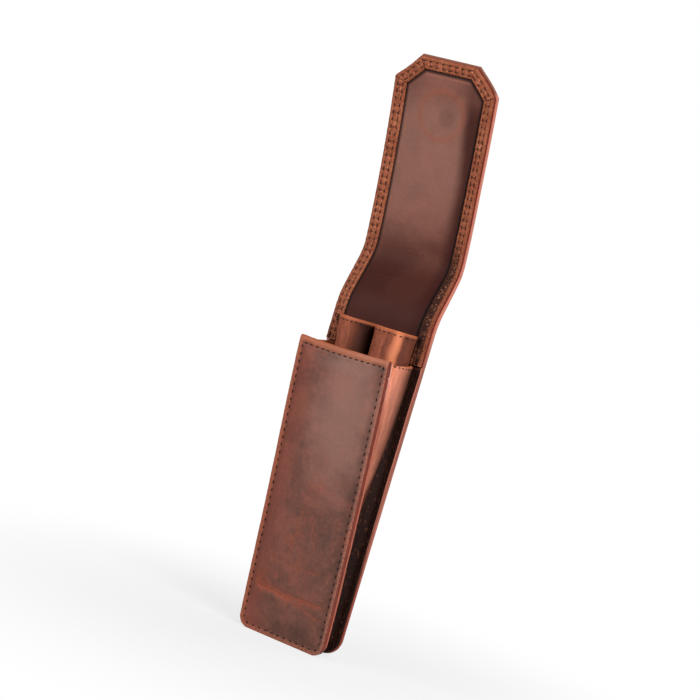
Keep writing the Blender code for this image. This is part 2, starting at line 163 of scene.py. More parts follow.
# Creases across the front: height at the middle, rise at the sides, slope, half length, strength;
# rise and slope are reached at CREASE_HALF from the middle, and all but the strength are in mm
CREASE_HALF = 21.5
FRONT_CREASES = (
    (20.0, 1.6, -0.7, 20.5, 1.0),
    (18.6, 2.0, -0.4, 19.5, 0.7),
    (17.9, -1.0, -3.1, 20.0, 0.9),
    (19.4, 0.4, 0.9, 17.0, 0.5),
    (32.0, 3.6, 0.1, 16.0, 0.5),
)


def length_property(name, description, millimetres):
    """A size that a user would change."""
    return FloatProperty(name=name, description=description, default=millimetres * MM, unit="LENGTH")


class PenCaseSizes(bpy.types.PropertyGroup):
    """Sizes that a maker would change."""

    border_width: length_property("Border", "Width of the sewn border", 5.0)
    front_seam: length_property("Front seam", "Distance of the front's stitches from its sides", 2.0)
    hem_seam: length_property("Hem seam", "Distance of the stitches from the front's top edge", 2.9)
    front_padding: length_property("Padding", "Rise of the front's field", 0.9)
    stitch_pitch: length_property("Pitch", "From one of the border's stitches to the next", 3.0)
    thread: length_property("Thread", "Thickness of the thread", 0.5)
    flap_twist: length_property("Flap twist", "How far the flap's left corner comes forward", 2.4)
    flap_bow: FloatProperty(
        name="Flap bow",
        description="How far the flap's ends turn away from its chord",
        default=math.radians(3.4),
        subtype="ANGLE",
    )


def colour_property(name, description, red, green, blue):
    """A colour, given as it appears on a screen, from 0 to 255."""
    return FloatVectorProperty(
        name=name,
        description=description,
        default=tuple(screen_to_light(channel / 255) for channel in (red, green, blue)),
        subtype="COLOR",
        min=0.0,
        max=1.0,
    )


def screen_to_light(channel):
    return channel / 12.92 if channel <= 0.04045 else ((channel + 0.055) / 1.055) ** 2.4


class PenCaseColours(bpy.types.PropertyGroup):
    """Colours of the leathers, the thread and what is hidden between them."""

    front: colour_property("Front", "Oiled leather of the front", 117, 70, 58)
    front_dark: colour_property("Front, dark", "Where the oil lies darkest", 84, 55, 46)
    front_worn: colour_property("Front, worn", "Where a bend has drawn the oil away", 148, 68, 42)
    # Painted sheen: stands in for the soft reflection on the upper field
    front_sheen: colour_property("Front, bloom", "Waxy bloom on the upper field", 141, 101, 89)
    front_red: colour_property("Front, red", "Red-brown of the front's left side", 126, 56, 40)
    hem_band: colour_property("Front's hem", "Tan of the band above the hem's seam", 172, 100, 68)
    edge: colour_property("Edge", "Worn band along an edge", 150, 82, 54)
    # Painted sheen on the front's right and top edges, a painted highlight on the lining's rim, and the
    # darker fibres of the back's cut edge
    edge_fibre_and_sheen: colour_property("Edge, bloom", "Band along the front's right and top edges", 158, 98, 80)
    cut_edge: colour_property("Cut edge", "Cut edge of the front's leather", 136, 60, 44)
    # The back's edge paint, made lighter as a painted rim light
    back_edge_rim_lit: colour_property("Back edge", "Cut edge of the back and flap", 206, 126, 106)
    foot_edge: colour_property("Back edge, foot", "The same edge near the foot", 128, 50, 39)
    tip_edge: colour_property("Back edge, tip", "The same edge round the flap's tip", 112, 66, 46)
    lining: colour_property("Lining", "Smooth lining leather", 108, 62, 50)
    lining_dark: colour_property("Lining, dark", "Darker cloud in the lining", 78, 38, 30)
    lining_shade: colour_property("Lining, right", "Red-brown of the lining's right side", 50, 17, 12)
    border: colour_property("Border", "Grained border leather", 160, 92, 65)
    border_cloud: colour_property("Border, cloud", "Slightly darker patches of the border", 140, 74, 49)
    # Painted highlight: glints on the ridges between the stitches
    border_glint: colour_property("Border, glint", "Waxed ridges between the stitches", 212, 142, 108)
    border_side: colour_property("Border's side", "Dark painted side of the border", 98, 34, 25)
    # Painted shade in the border's hollows, gathers and shadow, and on the tunnels' shaded sides
    border_shade: colour_property("Border, dark", "Hollows of the border's grain", 70, 34, 23)
    gusset: colour_property("Gusset", "Soft leather of the gusset", 196, 106, 66)
    # Random clouds of the gusset, and its painted sheen towards the back corner
    gusset_cloud_and_sheen: colour_property("Gusset, bloom", "Towards the gusset's back corner", 220, 139, 114)
    # Painted shade where the gusset folds in, on the border's bend and between the tunnels
    gusset_shade: colour_property("Gusset, dark", "Where the gusset is folded in", 30, 14, 10)
    gusset_edge: colour_property("Gusset's edge", "Raw edge of the gusset's front seam", 208, 152, 134)
    gusset_low_edge: colour_property("Gusset's edge, low", "The same edge further down", 168, 94, 76)
    sleeve: colour_property("Sleeve", "Soft leather of the pen tunnels", 148, 80, 56)
    sleeve_dark: colour_property("Sleeve, dark", "Shaded side of the tunnels", 74, 38, 30)
    sleeve_cloud: colour_property("Sleeve, cloud", "Slightly darker patches of the tunnels", 138, 76, 56)
    # Painted highlight on the right tunnel
    sleeve_highlight: colour_property("Sleeve, light", "Stretched top of the right tunnel", 216, 132, 94)
    hem: colour_property("Hem", "Top hems of the gusset and the sleeve", 178, 98, 64)
    thread: colour_property("Thread", "Waxed thread", 32, 15, 10)
    border_thread: colour_property("Border's thread", "Thread worn paler on the border", 60, 32, 24)
    board: colour_property("Board", "Grey board between the leathers", 150, 136, 116)
    plate: colour_property("Plate", "Nickel plate of the closure", 200, 198, 192)


def sizes():
    return bpy.context.scene.pen_case_sizes


def colours():
    return bpy.context.scene.pen_case_colours


class Value:
    """A socket of a material; arithmetic on it adds Math nodes."""

    def __init__(self, finish, socket):
        self.finish = finish
        self.socket = socket

    def math(self, operation, first, second, clamp=False):
        settings = {"operation": operation, "use_clamp": clamp}
        return self.finish.add("ShaderNodeMath", settings, {0: first, 1: second})

    def __add__(self, other):
        return self.math("ADD", self, other)

    def __radd__(self, other):
        return self.math("ADD", other, self)

    def __sub__(self, other):
        return self.math("SUBTRACT", self, other)

    def __rsub__(self, other):
        return self.math("SUBTRACT", other, self)

    def __mul__(self, other):
        return self.math("MULTIPLY", self, other)

    def __rmul__(self, other):
        return self.math("MULTIPLY", other, self)

    def __truediv__(self, other):
        return self.math("DIVIDE", self, other)

    def __rtruediv__(self, other):
        return self.math("DIVIDE", other, self)

    def __pow__(self, other):
        return self.math("POWER", self, other)

    def __abs__(self):
        return self.math("ABSOLUTE", self, 0.0)

    def clamped(self):
        return self.math("ADD", self, 0.0, clamp=True)

    def rising(self, low, high):
        """0 below low and 1 above high, with a smooth rise between them."""
        settings = {"interpolation_type": "SMOOTHSTEP"}
        return self.finish.add(
            "ShaderNodeMapRange", settings, {0: self, 1: low, 2: high, 3: 0.0, 4: 1.0}
        )

    def falling(self, low, high):
        """1 below low and 0 above high."""
        return 1.0 - self.rising(low, high)


class Finish:
    """A material whose nodes are added one expression at a time."""

    def __init__(self, name):
        self.material = bpy.data.materials.new(name)
        self.material.use_nodes = True
        self.tree = self.material.node_tree
        self.shader = self.tree.nodes["Principled BSDF"]

    def add(self, kind, settings, inputs, output=0):
        """A node with its settings, and its sockets' values or links; returns one of its outputs."""
        node = self.tree.nodes.new(kind)
        for key, value in settings.items():
            setattr(node, key, value)
        for key, value in inputs.items():
            self.feed(node.inputs[key], value)
        return Value(self, node.outputs[output])

    def feed(self, socket, value):
        if isinstance(value, Value):
            self.tree.links.new(value.socket, socket)
        else:
            socket.default_value = value

    def attribute(self, name, output="Vector"):
        return self.add("ShaderNodeAttribute", {"attribute_name": name}, {}, output)

    def flat_place(self):
        """Where a point lies on the flat leather, in millimetres."""
        return self.scaled(self.attribute("flat"), (1 / MM,) * 3)

    def solid_place(self):
        """Where a point lies in the case, in millimetres."""
        return self.scaled(self.add("ShaderNodeTexCoord", {}, {}, "Object"), (1 / MM,) * 3)

    def rim(self):
        """How far inside its piece's outline a point lies, in millimetres."""
        return self.attribute("rim", "Fac") / MM

    def scaled(self, vector, factors):
        return self.add("ShaderNodeVectorMath", {"operation": "MULTIPLY"}, {0: vector, 1: factors})

    def moved(self, vector, shift):
        return self.add("ShaderNodeVectorMath", {"operation": "ADD"}, {0: vector, 1: shift})

    def parts(self, vector):
        node = self.add("ShaderNodeSeparateXYZ", {}, {0: vector}).socket.node
        return [Value(self, socket) for socket in node.outputs]

    def clouds(self, place, scale, detail=3.0, roughness=0.55, distortion=0.0):
        sockets = {
            "Vector": place,
            "Scale": scale,
            "Detail": detail,
            "Roughness": roughness,
            "Distortion": distortion,
        }
        return self.add("ShaderNodeTexNoise", {}, sockets, "Fac")

    def cells(self, place, scale):
        settings = {"feature": "SMOOTH_F1"}
        return self.add("ShaderNodeTexVoronoi", settings, {"Vector": place, "Scale": scale}, "Distance")

    def distance(self, across, along):
        """How far a point is from where both values are 0."""
        return (across * across + along * along) ** 0.5

    def mixed(self, share, first, second):
        """A colour between two colours."""
        sockets = {0: share, 6: self.colour(first), 7: self.colour(second)}
        return self.add("ShaderNodeMix", {"data_type": "RGBA"}, sockets, 2)

    def colour(self, value):
        return value if isinstance(value, Value) else (*value[:3], 1.0)

    def multiplied(self, share, colour, factor):
        """A colour darkened by a factor, as far as the share says."""
        settings = {"data_type": "RGBA", "blend_type": "MULTIPLY"}
        grey = self.add("ShaderNodeCombineColor", {}, {0: factor, 1: factor, 2: factor})
        return self.add("ShaderNodeMix", settings, {0: share, 6: self.colour(colour), 7: grey}, 2)

    def surface(self, colour, roughness, height=None, depth=0.05 * MM, **sockets):
        """Feeds the shader, with a bump of the given depth from a height between 0 and 1."""
        self.feed(self.shader.inputs["Base Color"], self.colour(colour))
        self.feed(self.shader.inputs["Roughness"], roughness)
        for key, value in sockets.items():
            self.shader.inputs[key.replace("_", " ")].default_value = value
        if height is not None:
            bump = self.add("ShaderNodeBump", {}, {"Strength": 1.0, "Distance": depth, "Height": height})
            self.feed(self.shader.inputs["Normal"], bump)
        return self.material


def crease_mask(finish, place):
    """1 on the light, broken lines where the front has been bent, and 0 away from them."""
    across, along, _ = finish.parts(place)
    wander = finish.clouds(place, 0.16, 5.0, 0.7) * 3.6 - 1.8
    broken = finish.clouds(place, 0.55, 5.0, 0.75).rising(0.38, 0.62)
    total = 0.0
    for middle, rise, slope, reach, strength in FRONT_CREASES:
        share = across / CREASE_HALF
        line = share * share * rise + share * slope + middle + wander
        distance = abs(along - line)
        core = distance.falling(0.05, 0.42)
        halo = distance.falling(0.2, 2.2)
        ends = abs(across).falling(reach - 6.0, reach)
        total = total + (core * 0.62 + halo * broken * 0.38) * ends * strength
    return total.clamped()


def leather(
    name,
    base,
    dark,
    worn,
    paint,
    cloud=0.055,
    grain=1.5,
    grain_depth=0.05 * MM,
    gloss=0.42,
    shine=0.22,
):
    """Oiled leather: clouds of darker oil, drawn-out streaks and a fine grain.

    The paint is a function that adds to the tone and the height what is special to one piece.
    """
    finish = Finish(name)
    place = finish.flat_place()
    patches = finish.clouds(place, cloud, 9.0, 0.68, 0.5)
    tone = finish.mixed(patches.rising(0.36, 0.64), dark, base)
    stretched = finish.scaled(place, (0.9, 0.10, 0.9))
    lines = finish.clouds(stretched, 1.0, 7.0, 0.72)
    tone = finish.mixed(lines.rising(0.52, 0.70) * 0.25, tone, worn)
    blushes = finish.clouds(finish.moved(place, (31.0, 17.0, 5.0)), cloud * 1.9, 4.0, 0.6)
    tone = finish.mixed(blushes.rising(0.54, 0.74) * 0.4, tone, worn)
    mottle = finish.clouds(place, 0.62, 8.0, 0.78).rising(0.34, 0.66)
    tone = finish.multiplied(1.0, tone, mottle * 0.34 + 0.80)
    height = finish.cells(place, grain) * 0.7 + finish.clouds(place, grain * 2.1, 3.0, 0.6) * 0.5
    tone, height = paint(finish, place, tone, height)
    rough = patches * 0.12 + mottle * 0.1 + gloss
    return finish.surface(tone, rough, height, grain_depth, Specular_IOR_Level=shine)


def worn_band(finish, place, width):
    """1 along the outline of a piece and 0 inside, with a ragged limit."""
    ragged = finish.rim() + (finish.clouds(place, 0.5, 4.0) - 0.5) * 2.2
    return ragged.falling(width * 0.3, width * 1.4)


def paint_front(finish, place, tone, height):
    """The front's painted sheen on its upper field, darker foot, red streaks, creases and worn edges,
    with a painted sheen on the right and top edges and painted shade inside the side seams.
    """
    tint = colours()
    across, along, _ = finish.parts(place)
    drift = (finish.clouds(place, 0.06, 7.0, 0.65) - 0.5) * 1.3
    # Painted sheen on the upper field, right of the middle
    from_sheen = finish.distance((across - 7.0) / 16.0, (along - 100.0) / 34.0) + drift
    tone = finish.mixed(from_sheen.falling(0.3, 1.35) * 0.6, tone, tint.front_sheen)
    foot = (along + drift * 14.0).falling(10.0, 50.0)
    tone = finish.mixed(foot * 0.12, tone, tint.front_dark)
    left = (across + drift * 5.0).falling(-19.0, -6.0)
    tone = finish.mixed(left * 0.5, tone, tint.front_red)
    hem = (along + drift).rising(FRONT_LENGTH / MM - 3.0, FRONT_LENGTH / MM - 2.4)
    tone = finish.mixed(hem * 0.6, tone, tint.hem_band)
    streak = finish.clouds(finish.scaled(place, (1.3, 0.09, 1.0)), 1.0, 7.0, 0.75).rising(0.48, 0.70)
    middle = abs(across).falling(3.0, 15.0) * abs(along - 44.0).falling(10.0, 38.0)
    tone = finish.mixed(streak * middle * 0.5, tone, tint.front_worn)
    creases = crease_mask(finish, place)
    tone = finish.mixed(creases * 0.62, tone, tint.front_worn)
    # Painted sheen: the worn band turns paler and pinker towards the right and top edges
    sheen_side = (across + along * 0.12).rising(14.0, 24.0)
    edge = finish.mixed(sheen_side, tint.edge, tint.edge_fibre_and_sheen)
    left_or_foot = 1.0 - (across + 20.0).rising(0.5, 4.0) * (along - 1.0).rising(0.5, 4.0)
    rim = finish.rim()
    # Painted shade inside the side seams, where the padded field falls away
    inside = (rim - 2.1).falling(0.0, 3.2) * (rim - 1.5).rising(0.0, 0.6)
    inside = inside * (abs(across) - 13.0).rising(0.0, 3.0) * along.rising(6.0, 16.0)
    tone = finish.multiplied(inside * 0.75, tone, 0.62)
    flecks = finish.clouds(place, 1.1, 6.0, 0.8).rising(0.44, 0.58)
    wide = worn_band(finish, place, 2.6) * left_or_foot * flecks * 0.6
    tone = finish.mixed(wide, tone, edge)
    tone = finish.mixed(worn_band(finish, place, 1.3) * (flecks * 0.7 + 0.25), tone, edge)
    return tone, height - creases * 0.6


def paint_cover(finish, place, tone, height):
    """The worn edges of the outer leather, and its ledge round the border in the back edge's colour with
    its painted rim light.
    """
    tint = colours()
    tone = finish.mixed(worn_band(finish, place, 1.7) * 0.7, tone, tint.edge)
    _, _, level = finish.parts(place)
    ledge = level.rising(0.8, 1.1) * finish.rim().falling(0.9, 1.3)
    tip = (SideProfile().tip - FLAP_CHAMFER) / MM
    return finish.mixed(ledge, tone, along_the_back(finish, place, tint.back_edge_rim_lit, tip)), height


def paint_border(finish, place, tone, height):
    """Painted shade in the hollows and gathers between the border's stitches, painted highlights on its
    ridges, its painted shadow at the bend and its painted outer side.
    """
    tint = colours()
    along, across, level = finish.parts(finish.attribute("strip"))
    across = across / MM
    rung = finish.add("ShaderNodeMath", {"operation": "COSINE"}, {0: along * math.tau})
    rows = [row / MM for row in stitch_rows()]
    between = abs(across - sum(rows) / 2).falling(0.9, 1.5)
    ladder = rung.rising(0.55, 0.95) * between
    ripple = finish.clouds(place, 1.3, 7.0, 0.75, 0.6)
    # Painted shade in the grain's hollows and across the stitches
    shaded_hollows = ripple.falling(0.40, 0.54)
    # Painted highlights: glints on the ridges of the grain
    ridges = finish.clouds(finish.moved(place, (7.0, 3.0, 1.0)), 1.1, 5.0, 0.7).rising(0.53, 0.64)
    tone = finish.mixed(ridges * (0.3 + between * 0.35), tone, tint.border_glint)
    tone = finish.mixed((shaded_hollows * 0.6 + ladder * 0.3).clamped(), tone, tint.border_shade)
    aside, up_the_leather, _ = finish.parts(place)
    top_strip = 152.0
    near_bend = abs(up_the_leather - top_strip).falling(12.0, 34.0)
    # Painted shade in the gathers near the bend
    gathers = finish.clouds(finish.scaled(place, (0.25, 1.0, 1.0)), 1.4, 4.0, 0.7).rising(0.42, 0.6)
    tone = finish.mixed(gathers * near_bend * 0.45, tone, tint.border_shade)
    shadow = near_bend * aside.rising(0.0, 4.0) * (across + ripple).rising(0.6, 2.8)
    tone = finish.mixed(shadow * 0.92, tone, tint.border_shade)
    tone = finish.mixed(shadow * (1.0 - ridges) * 0.75, tone, tint.gusset_shade)
    tone = finish.mixed(shadow * ridges * between * 0.4, tone, tint.border_glint)
    tone = finish.multiplied(aside.rising(17.0, 20.0) * 0.5, tone, 0.76)
    side = level.falling(2.45 * MM, 2.85 * MM)
    near_edge = across.falling(0.5, 1.2)
    tone = finish.mixed(side * near_edge, tone, tint.border_side)
    return tone, height * 0.5 + ripple * 1.8 - ladder * 0.8


def paint_gusset(finish, place, tone, height):
    """The gusset's raw edge, painted sheen towards its back corner, and painted shade lower down, where
    it folds in and along its back seam.
    """
    tint = colours()
    around, along, _ = finish.parts(place)
    drift = (finish.clouds(place, 0.12, 4.0) - 0.5) * 8.0
    # Painted sheen: paler and pinker further round the wall
    bloom = (around + drift * 0.15).rising(7.0, 9.8)
    tone = finish.mixed(bloom * 0.85, tone, tint.gusset_cloud_and_sheen)
    streak = finish.clouds(finish.scaled(place, (0.9, 0.07, 1.0)), 1.0, 6.0, 0.7).rising(0.36, 0.62)
    # Painted shade: darker towards the bottom, where the wall folds in
    deeper = (along + drift).rising(92.0, 130.0) * 0.5 + 0.5
    tone = finish.multiplied(1.0, tone, (streak * 0.34 + 0.8) * deeper)
    shade = (around + drift * 0.2).rising(9.8, 15.0)
    tone = finish.mixed(shade * 0.85, tone, tint.gusset_shade)
    # Painted shade over the folded foot
    low = (along + drift).falling(50.0, 76.0)
    tone = finish.mixed(low * 0.97, tone, tint.gusset_shade)
    # Painted shade over the back flange and the back of the fold
    back = (around + drift * 0.12).rising(18.5, 21.5)
    tone = finish.mixed(back * 0.97, tone, tint.gusset_shade)
    flecks = finish.clouds(finish.scaled(place, (1.0, 0.35, 1.0)), 1.2, 6.0, 0.8).rising(0.56, 0.68)
    tone = finish.mixed(flecks * back * 0.45, tone, tint.border)
    hem = along.rising(GUSSET_TOP / MM - 1.7, GUSSET_TOP / MM - 0.9)
    tone = finish.mixed(hem * (0.8 - back * 0.72), tone, tint.hem)
    raw = around.falling(0.35, 0.8)
    raw_tone = finish.mixed(along.rising(100.0, 124.0), tint.gusset_low_edge, tint.gusset_edge)
    tone = finish.mixed(raw, tone, raw_tone)
    # The back's edge colour, with its painted rim light, on the gusset's back edge
    tone = finish.mixed(around.rising(29.9, 30.2) * along.rising(20.0, 90.0) * 0.6, tone, tint.back_edge_rim_lit)
    return tone, height


def paint_sleeve(finish, place, tone, height):
    """The tunnels' mottling, painted shade on their sides, between them and low down, their worn hem,
    and a painted highlight on the right one.
    """
    tint = colours()
    _, along, _ = finish.parts(place)
    spot = finish.add("ShaderNodeTexCoord", {}, {}, "Object")
    across = finish.parts(spot)[0] / MM + (finish.clouds(place, 0.1, 4.0) - 0.5) * 2.5
    right = across.rising(-0.4, 0.4)
    worn = finish.clouds(finish.scaled(place, (1.0, 0.3, 1.0)), 0.55, 5.0, 0.65).rising(0.36, 0.62)
    tone = finish.multiplied(1.0, tone, worn * 0.34 + 0.78)
    # Painted shade left of the right tunnel's painted highlight
    hollow_shade = abs(across - 11.5).falling(0.5, 2.2) * right
    tone = finish.mixed(hollow_shade * 0.4, tone, tint.sleeve_dark)
    shaded = across.rising(-9.5, -3.0) * (1.0 - right)
    tone = finish.mixed(shaded * 0.97, tone, tint.border_shade)
    # Painted shade in the valley between the tunnels
    seam = across.rising(-4.5, -1.0) * (1.0 - right)
    tone = finish.mixed(seam * 0.85, tone, tint.gusset_shade)
    # Painted highlight on the right tunnel
    stretched = abs(across - 15.8).falling(0.0, 3.0) * right
    tone = finish.mixed(stretched * 0.75, tone, tint.sleeve_highlight)
    turned_away = across.rising(17.2, 18.2)
    tone = finish.mixed(turned_away * 0.75, tone, tint.sleeve_dark)
    # Painted shade low down in the tunnels
    low = along.falling(108.0, 128.0)
    tone = finish.mixed(low * 0.6, tone, tint.sleeve_dark)
    hem = along.rising(SLEEVE_TOP / MM - 1.6, SLEEVE_TOP / MM - 0.7)
    return finish.mixed(hem * 0.6, tone, tint.hem), height


def along_the_back(finish, place, tone, tip):
    """A colour of the back's edge: redder at its foot, and darker below the bend and round the tip."""
    tint = colours()
    _, along, _ = finish.parts(place)
    # Darker between about 90 and 124 mm up the leather
    darker_stretch = along.rising(40.0, 90.0) * along.falling(124.0, 142.0)
    tone = finish.multiplied(darker_stretch, tone, 0.58)
    tone = finish.mixed(along.falling(8.0, 84.0) * 0.9, tone, tint.foot_edge)
    return finish.mixed(along.rising(tip, tip + 2.0) * 0.9, tone, tint.tip_edge)


def cut_edge(name, base, dark, tip=None):
    """The cut edge of a leather, with the lines of its fibres along it.

    The height of the flap's tip, in mm, is given where the edge changes along the back.
    """
    finish = Finish(name)
    place = finish.flat_place()
    fibres = finish.clouds(finish.scaled(place, (0.5, 0.5, 5.0)), 0.8, 4.0, 0.7)
    tone = finish.mixed(fibres.rising(0.3, 0.7), dark, base)
    if tip is not None:
        tone = along_the_back(finish, place, tone, tip)
    return finish.surface(tone, fibres * 0.2 + 0.5, fibres, 0.04 * MM, Specular_IOR_Level=0.2)


def waxed_thread(name, colour):
    """Twisted thread, darkened by wax."""
    finish = Finish(name)
    place = finish.flat_place()
    across, along, level = finish.parts(place)
    lay = (across * 2.0 + along * 2.6 + level * 2.0) * 2.4
    twist = finish.add("ShaderNodeMath", {"operation": "SINE"}, {0: lay})
    strands = twist * 0.5 + 0.5
    light = tuple(min(1.0, channel * 1.8) for channel in colour)
    tone = finish.mixed(strands * finish.clouds(place, 0.6, 2.0), colour, light)
    return finish.surface(tone, strands * 0.1 + 0.6, strands, 0.06 * MM, Specular_IOR_Level=0.1)


def grey_board(name, colour):
    """Pressed board with pale and dark fibres."""
    finish = Finish(name)
    place = finish.solid_place()
    fibres = finish.clouds(finish.scaled(place, (1.0, 0.4, 1.0)), 1.6, 5.0, 0.7)
    dark = tuple(channel * 0.6 for channel in colour)
    return finish.surface(finish.mixed(fibres, dark, colour), fibres * 0.1 + 0.8, fibres, 0.05 * MM)


def nickel_plate(name, colour):
    """Plated steel with fine turning marks."""
    finish = Finish(name)
    place = finish.solid_place()
    marks = finish.clouds(finish.scaled(place, (6.0, 0.3, 0.3)), 1.0, 3.0)
    tone = finish.mixed(marks, tuple(channel * 0.85 for channel in colour), colour)
    return finish.surface(tone, marks * 0.15 + 0.22, marks, 0.01 * MM, Metallic=1.0)


def select_only(*pieces):
    """Object mode, with these pieces selected and nothing else."""
    if bpy.context.object and bpy.context.object.mode != "OBJECT":
        bpy.ops.object.mode_set(mode="OBJECT")
    bpy.ops.object.select_all(action="DESELECT")
    for piece in pieces:
        piece.select_set(True)
        bpy.context.view_layer.objects.active = piece


def added(name):
    """The piece that an operator has just added, under its own name."""
    piece = bpy.context.object
    piece.name = name
    piece.data.name = name
    return piece


def edit(piece):
    """Edit mode, with all of the piece selected."""
    select_only(piece)
    bpy.ops.object.mode_set(mode="EDIT")
    bpy.ops.mesh.select_all(action="SELECT")


def points_of(piece):
    points = np.empty(len(piece.data.vertices) * 3, np.float32)
    piece.data.vertices.foreach_get("co", points)
    return points.reshape(-1, 3).astype(float)


def put_points(piece, points):
    piece.data.vertices.foreach_set("co", np.asarray(points, np.float32).ravel())
    piece.data.update()


def store(piece, name, values):
    """Keeps a number or a vector for each point, for the materials."""
    values = np.asarray(values, np.float32)
    kind, key = ("FLOAT", "value") if values.ndim == 1 else ("FLOAT_VECTOR", "vector")
    piece.data.attributes.new(name, kind, "POINT").data.foreach_set(key, values.ravel())


def apply_modifiers(piece):
    select_only(piece)
    for modifier in list(piece.modifiers):
        bpy.ops.object.modifier_apply(modifier=modifier.name)


def smooth(piece, angle=40):
    select_only(piece)
    bpy.ops.object.shade_smooth_by_angle(angle=math.radians(angle))


def dress(piece, *materials):
    piece.data.materials.clear()
    for material in materials:
        piece.data.materials.append(material)


def even_steps(start, end, step):
    return np.linspace(start, end, max(1, round((end - start) / step)) + 1)


def stretches(start, *stretches_on):
    """Places from a start through stretches, each given by its end and its step."""
    places = [np.array([start])]
    for end, step in stretches_on:
        places.append(even_steps(start, end, step)[1:])
        start = end
    return np.concatenate(places)


def fine_then_coarse(half, fine_zone, fine, coarse):
    """Places across a width: close together near both edges and wider in the middle."""
    inner = half - fine_zone
    return stretches(-half, (-inner, fine), (inner, coarse), (half, fine))


def blank(name, across, along, level=0.0):
    """A flat sheet with its edge loops at the given places across and along."""
    select_only()
    columns, rows = len(across) - 1, len(along) - 1
    bpy.ops.mesh.primitive_grid_add(x_subdivisions=columns, y_subdivisions=rows, size=2)
    piece = added(name)
    points = points_of(piece)
    column = np.rint((points[:, 0] + 1) / 2 * columns).astype(int)
    row = np.rint((points[:, 1] + 1) / 2 * rows).astype(int)
    put_points(piece, np.column_stack([across[column], along[row], np.full(len(points), level)]))
    return piece


class Outline:
    """A convex outline on the flat leather: a box, and the straight cuts that shape its corners.

    Each side or cut is a point on it and the direction that leads out of the outline.
    """

    CUTS_AT_A_CORNER = 9

    def __init__(self, half, bottom, top):
        self.sides = [
            (Vector((-half, bottom)), Vector((-1, 0))),
            (Vector((half, bottom)), Vector((1, 0))),
            (Vector((0, bottom)), Vector((0, -1))),
            (Vector((0, top)), Vector((0, 1))),
        ]
        self.cuts = []
        self.half = half
        self.bottom = bottom
        self.top = top

    def rounded_foot(self, radius):
        for side in (-1, 1):
            centre = Vector((side * (self.half - radius), self.bottom + radius))
            for i in range(self.CUTS_AT_A_CORNER):
                angle = math.radians(90) * (i + 0.5) / self.CUTS_AT_A_CORNER
                outward = Vector((side * math.sin(angle), -math.cos(angle)))
                self.cuts.append((centre + outward * radius, outward))
        return self

    def chamfered_tip(self, chamfer):
        for side in (-1, 1):
            corner = Vector((side * (self.half - chamfer), self.top))
            self.cuts.append((corner, Vector((side, 1)).normalized()))
        return self

    def inset(self, points):
        """How far inside the outline each point lies."""
        distances = [
            (point.x - points[:, 0]) * outward.x + (point.y - points[:, 1]) * outward.y
            for point, outward in self.sides + self.cuts
        ]
        return np.min(distances, axis=0)

    def trim(self, piece):
        """Cuts the corners off a sheet that fills the outline's box."""
        edit(piece)
        for point, outward in self.cuts:
            bpy.ops.mesh.select_all(action="SELECT")
            bpy.ops.mesh.bisect(plane_co=(*point, 0), plane_no=(*outward, 0), clear_outer=True)
        bpy.ops.mesh.select_all(action="SELECT")
        bpy.ops.mesh.remove_doubles(threshold=TOUCHING)
        bpy.ops.object.mode_set(mode="OBJECT")


def thicken(piece, thickness, side=1, rounding=RIM_ROUNDING, rim_slot=1):
    """Gives a sheet its thickness towards the front (side 1) or the back (-1), and rounds its rim."""
    solid = piece.modifiers.new("Thickness", "SOLIDIFY")
    solid.thickness = thickness
    solid.offset = side
    solid.material_offset_rim = rim_slot
    bevel = piece.modifiers.new("Rounded rim", "BEVEL")
    bevel.width = rounding
    bevel.segments = 2
    bevel.limit_method = "ANGLE"
    bevel.angle_limit = math.radians(SOFT_ANGLE)
    apply_modifiers(piece)


def smooth_step(value, low, high):
    share = np.clip((value - low) / (high - low), 0, 1)
    return share * share * (3 - 2 * share)


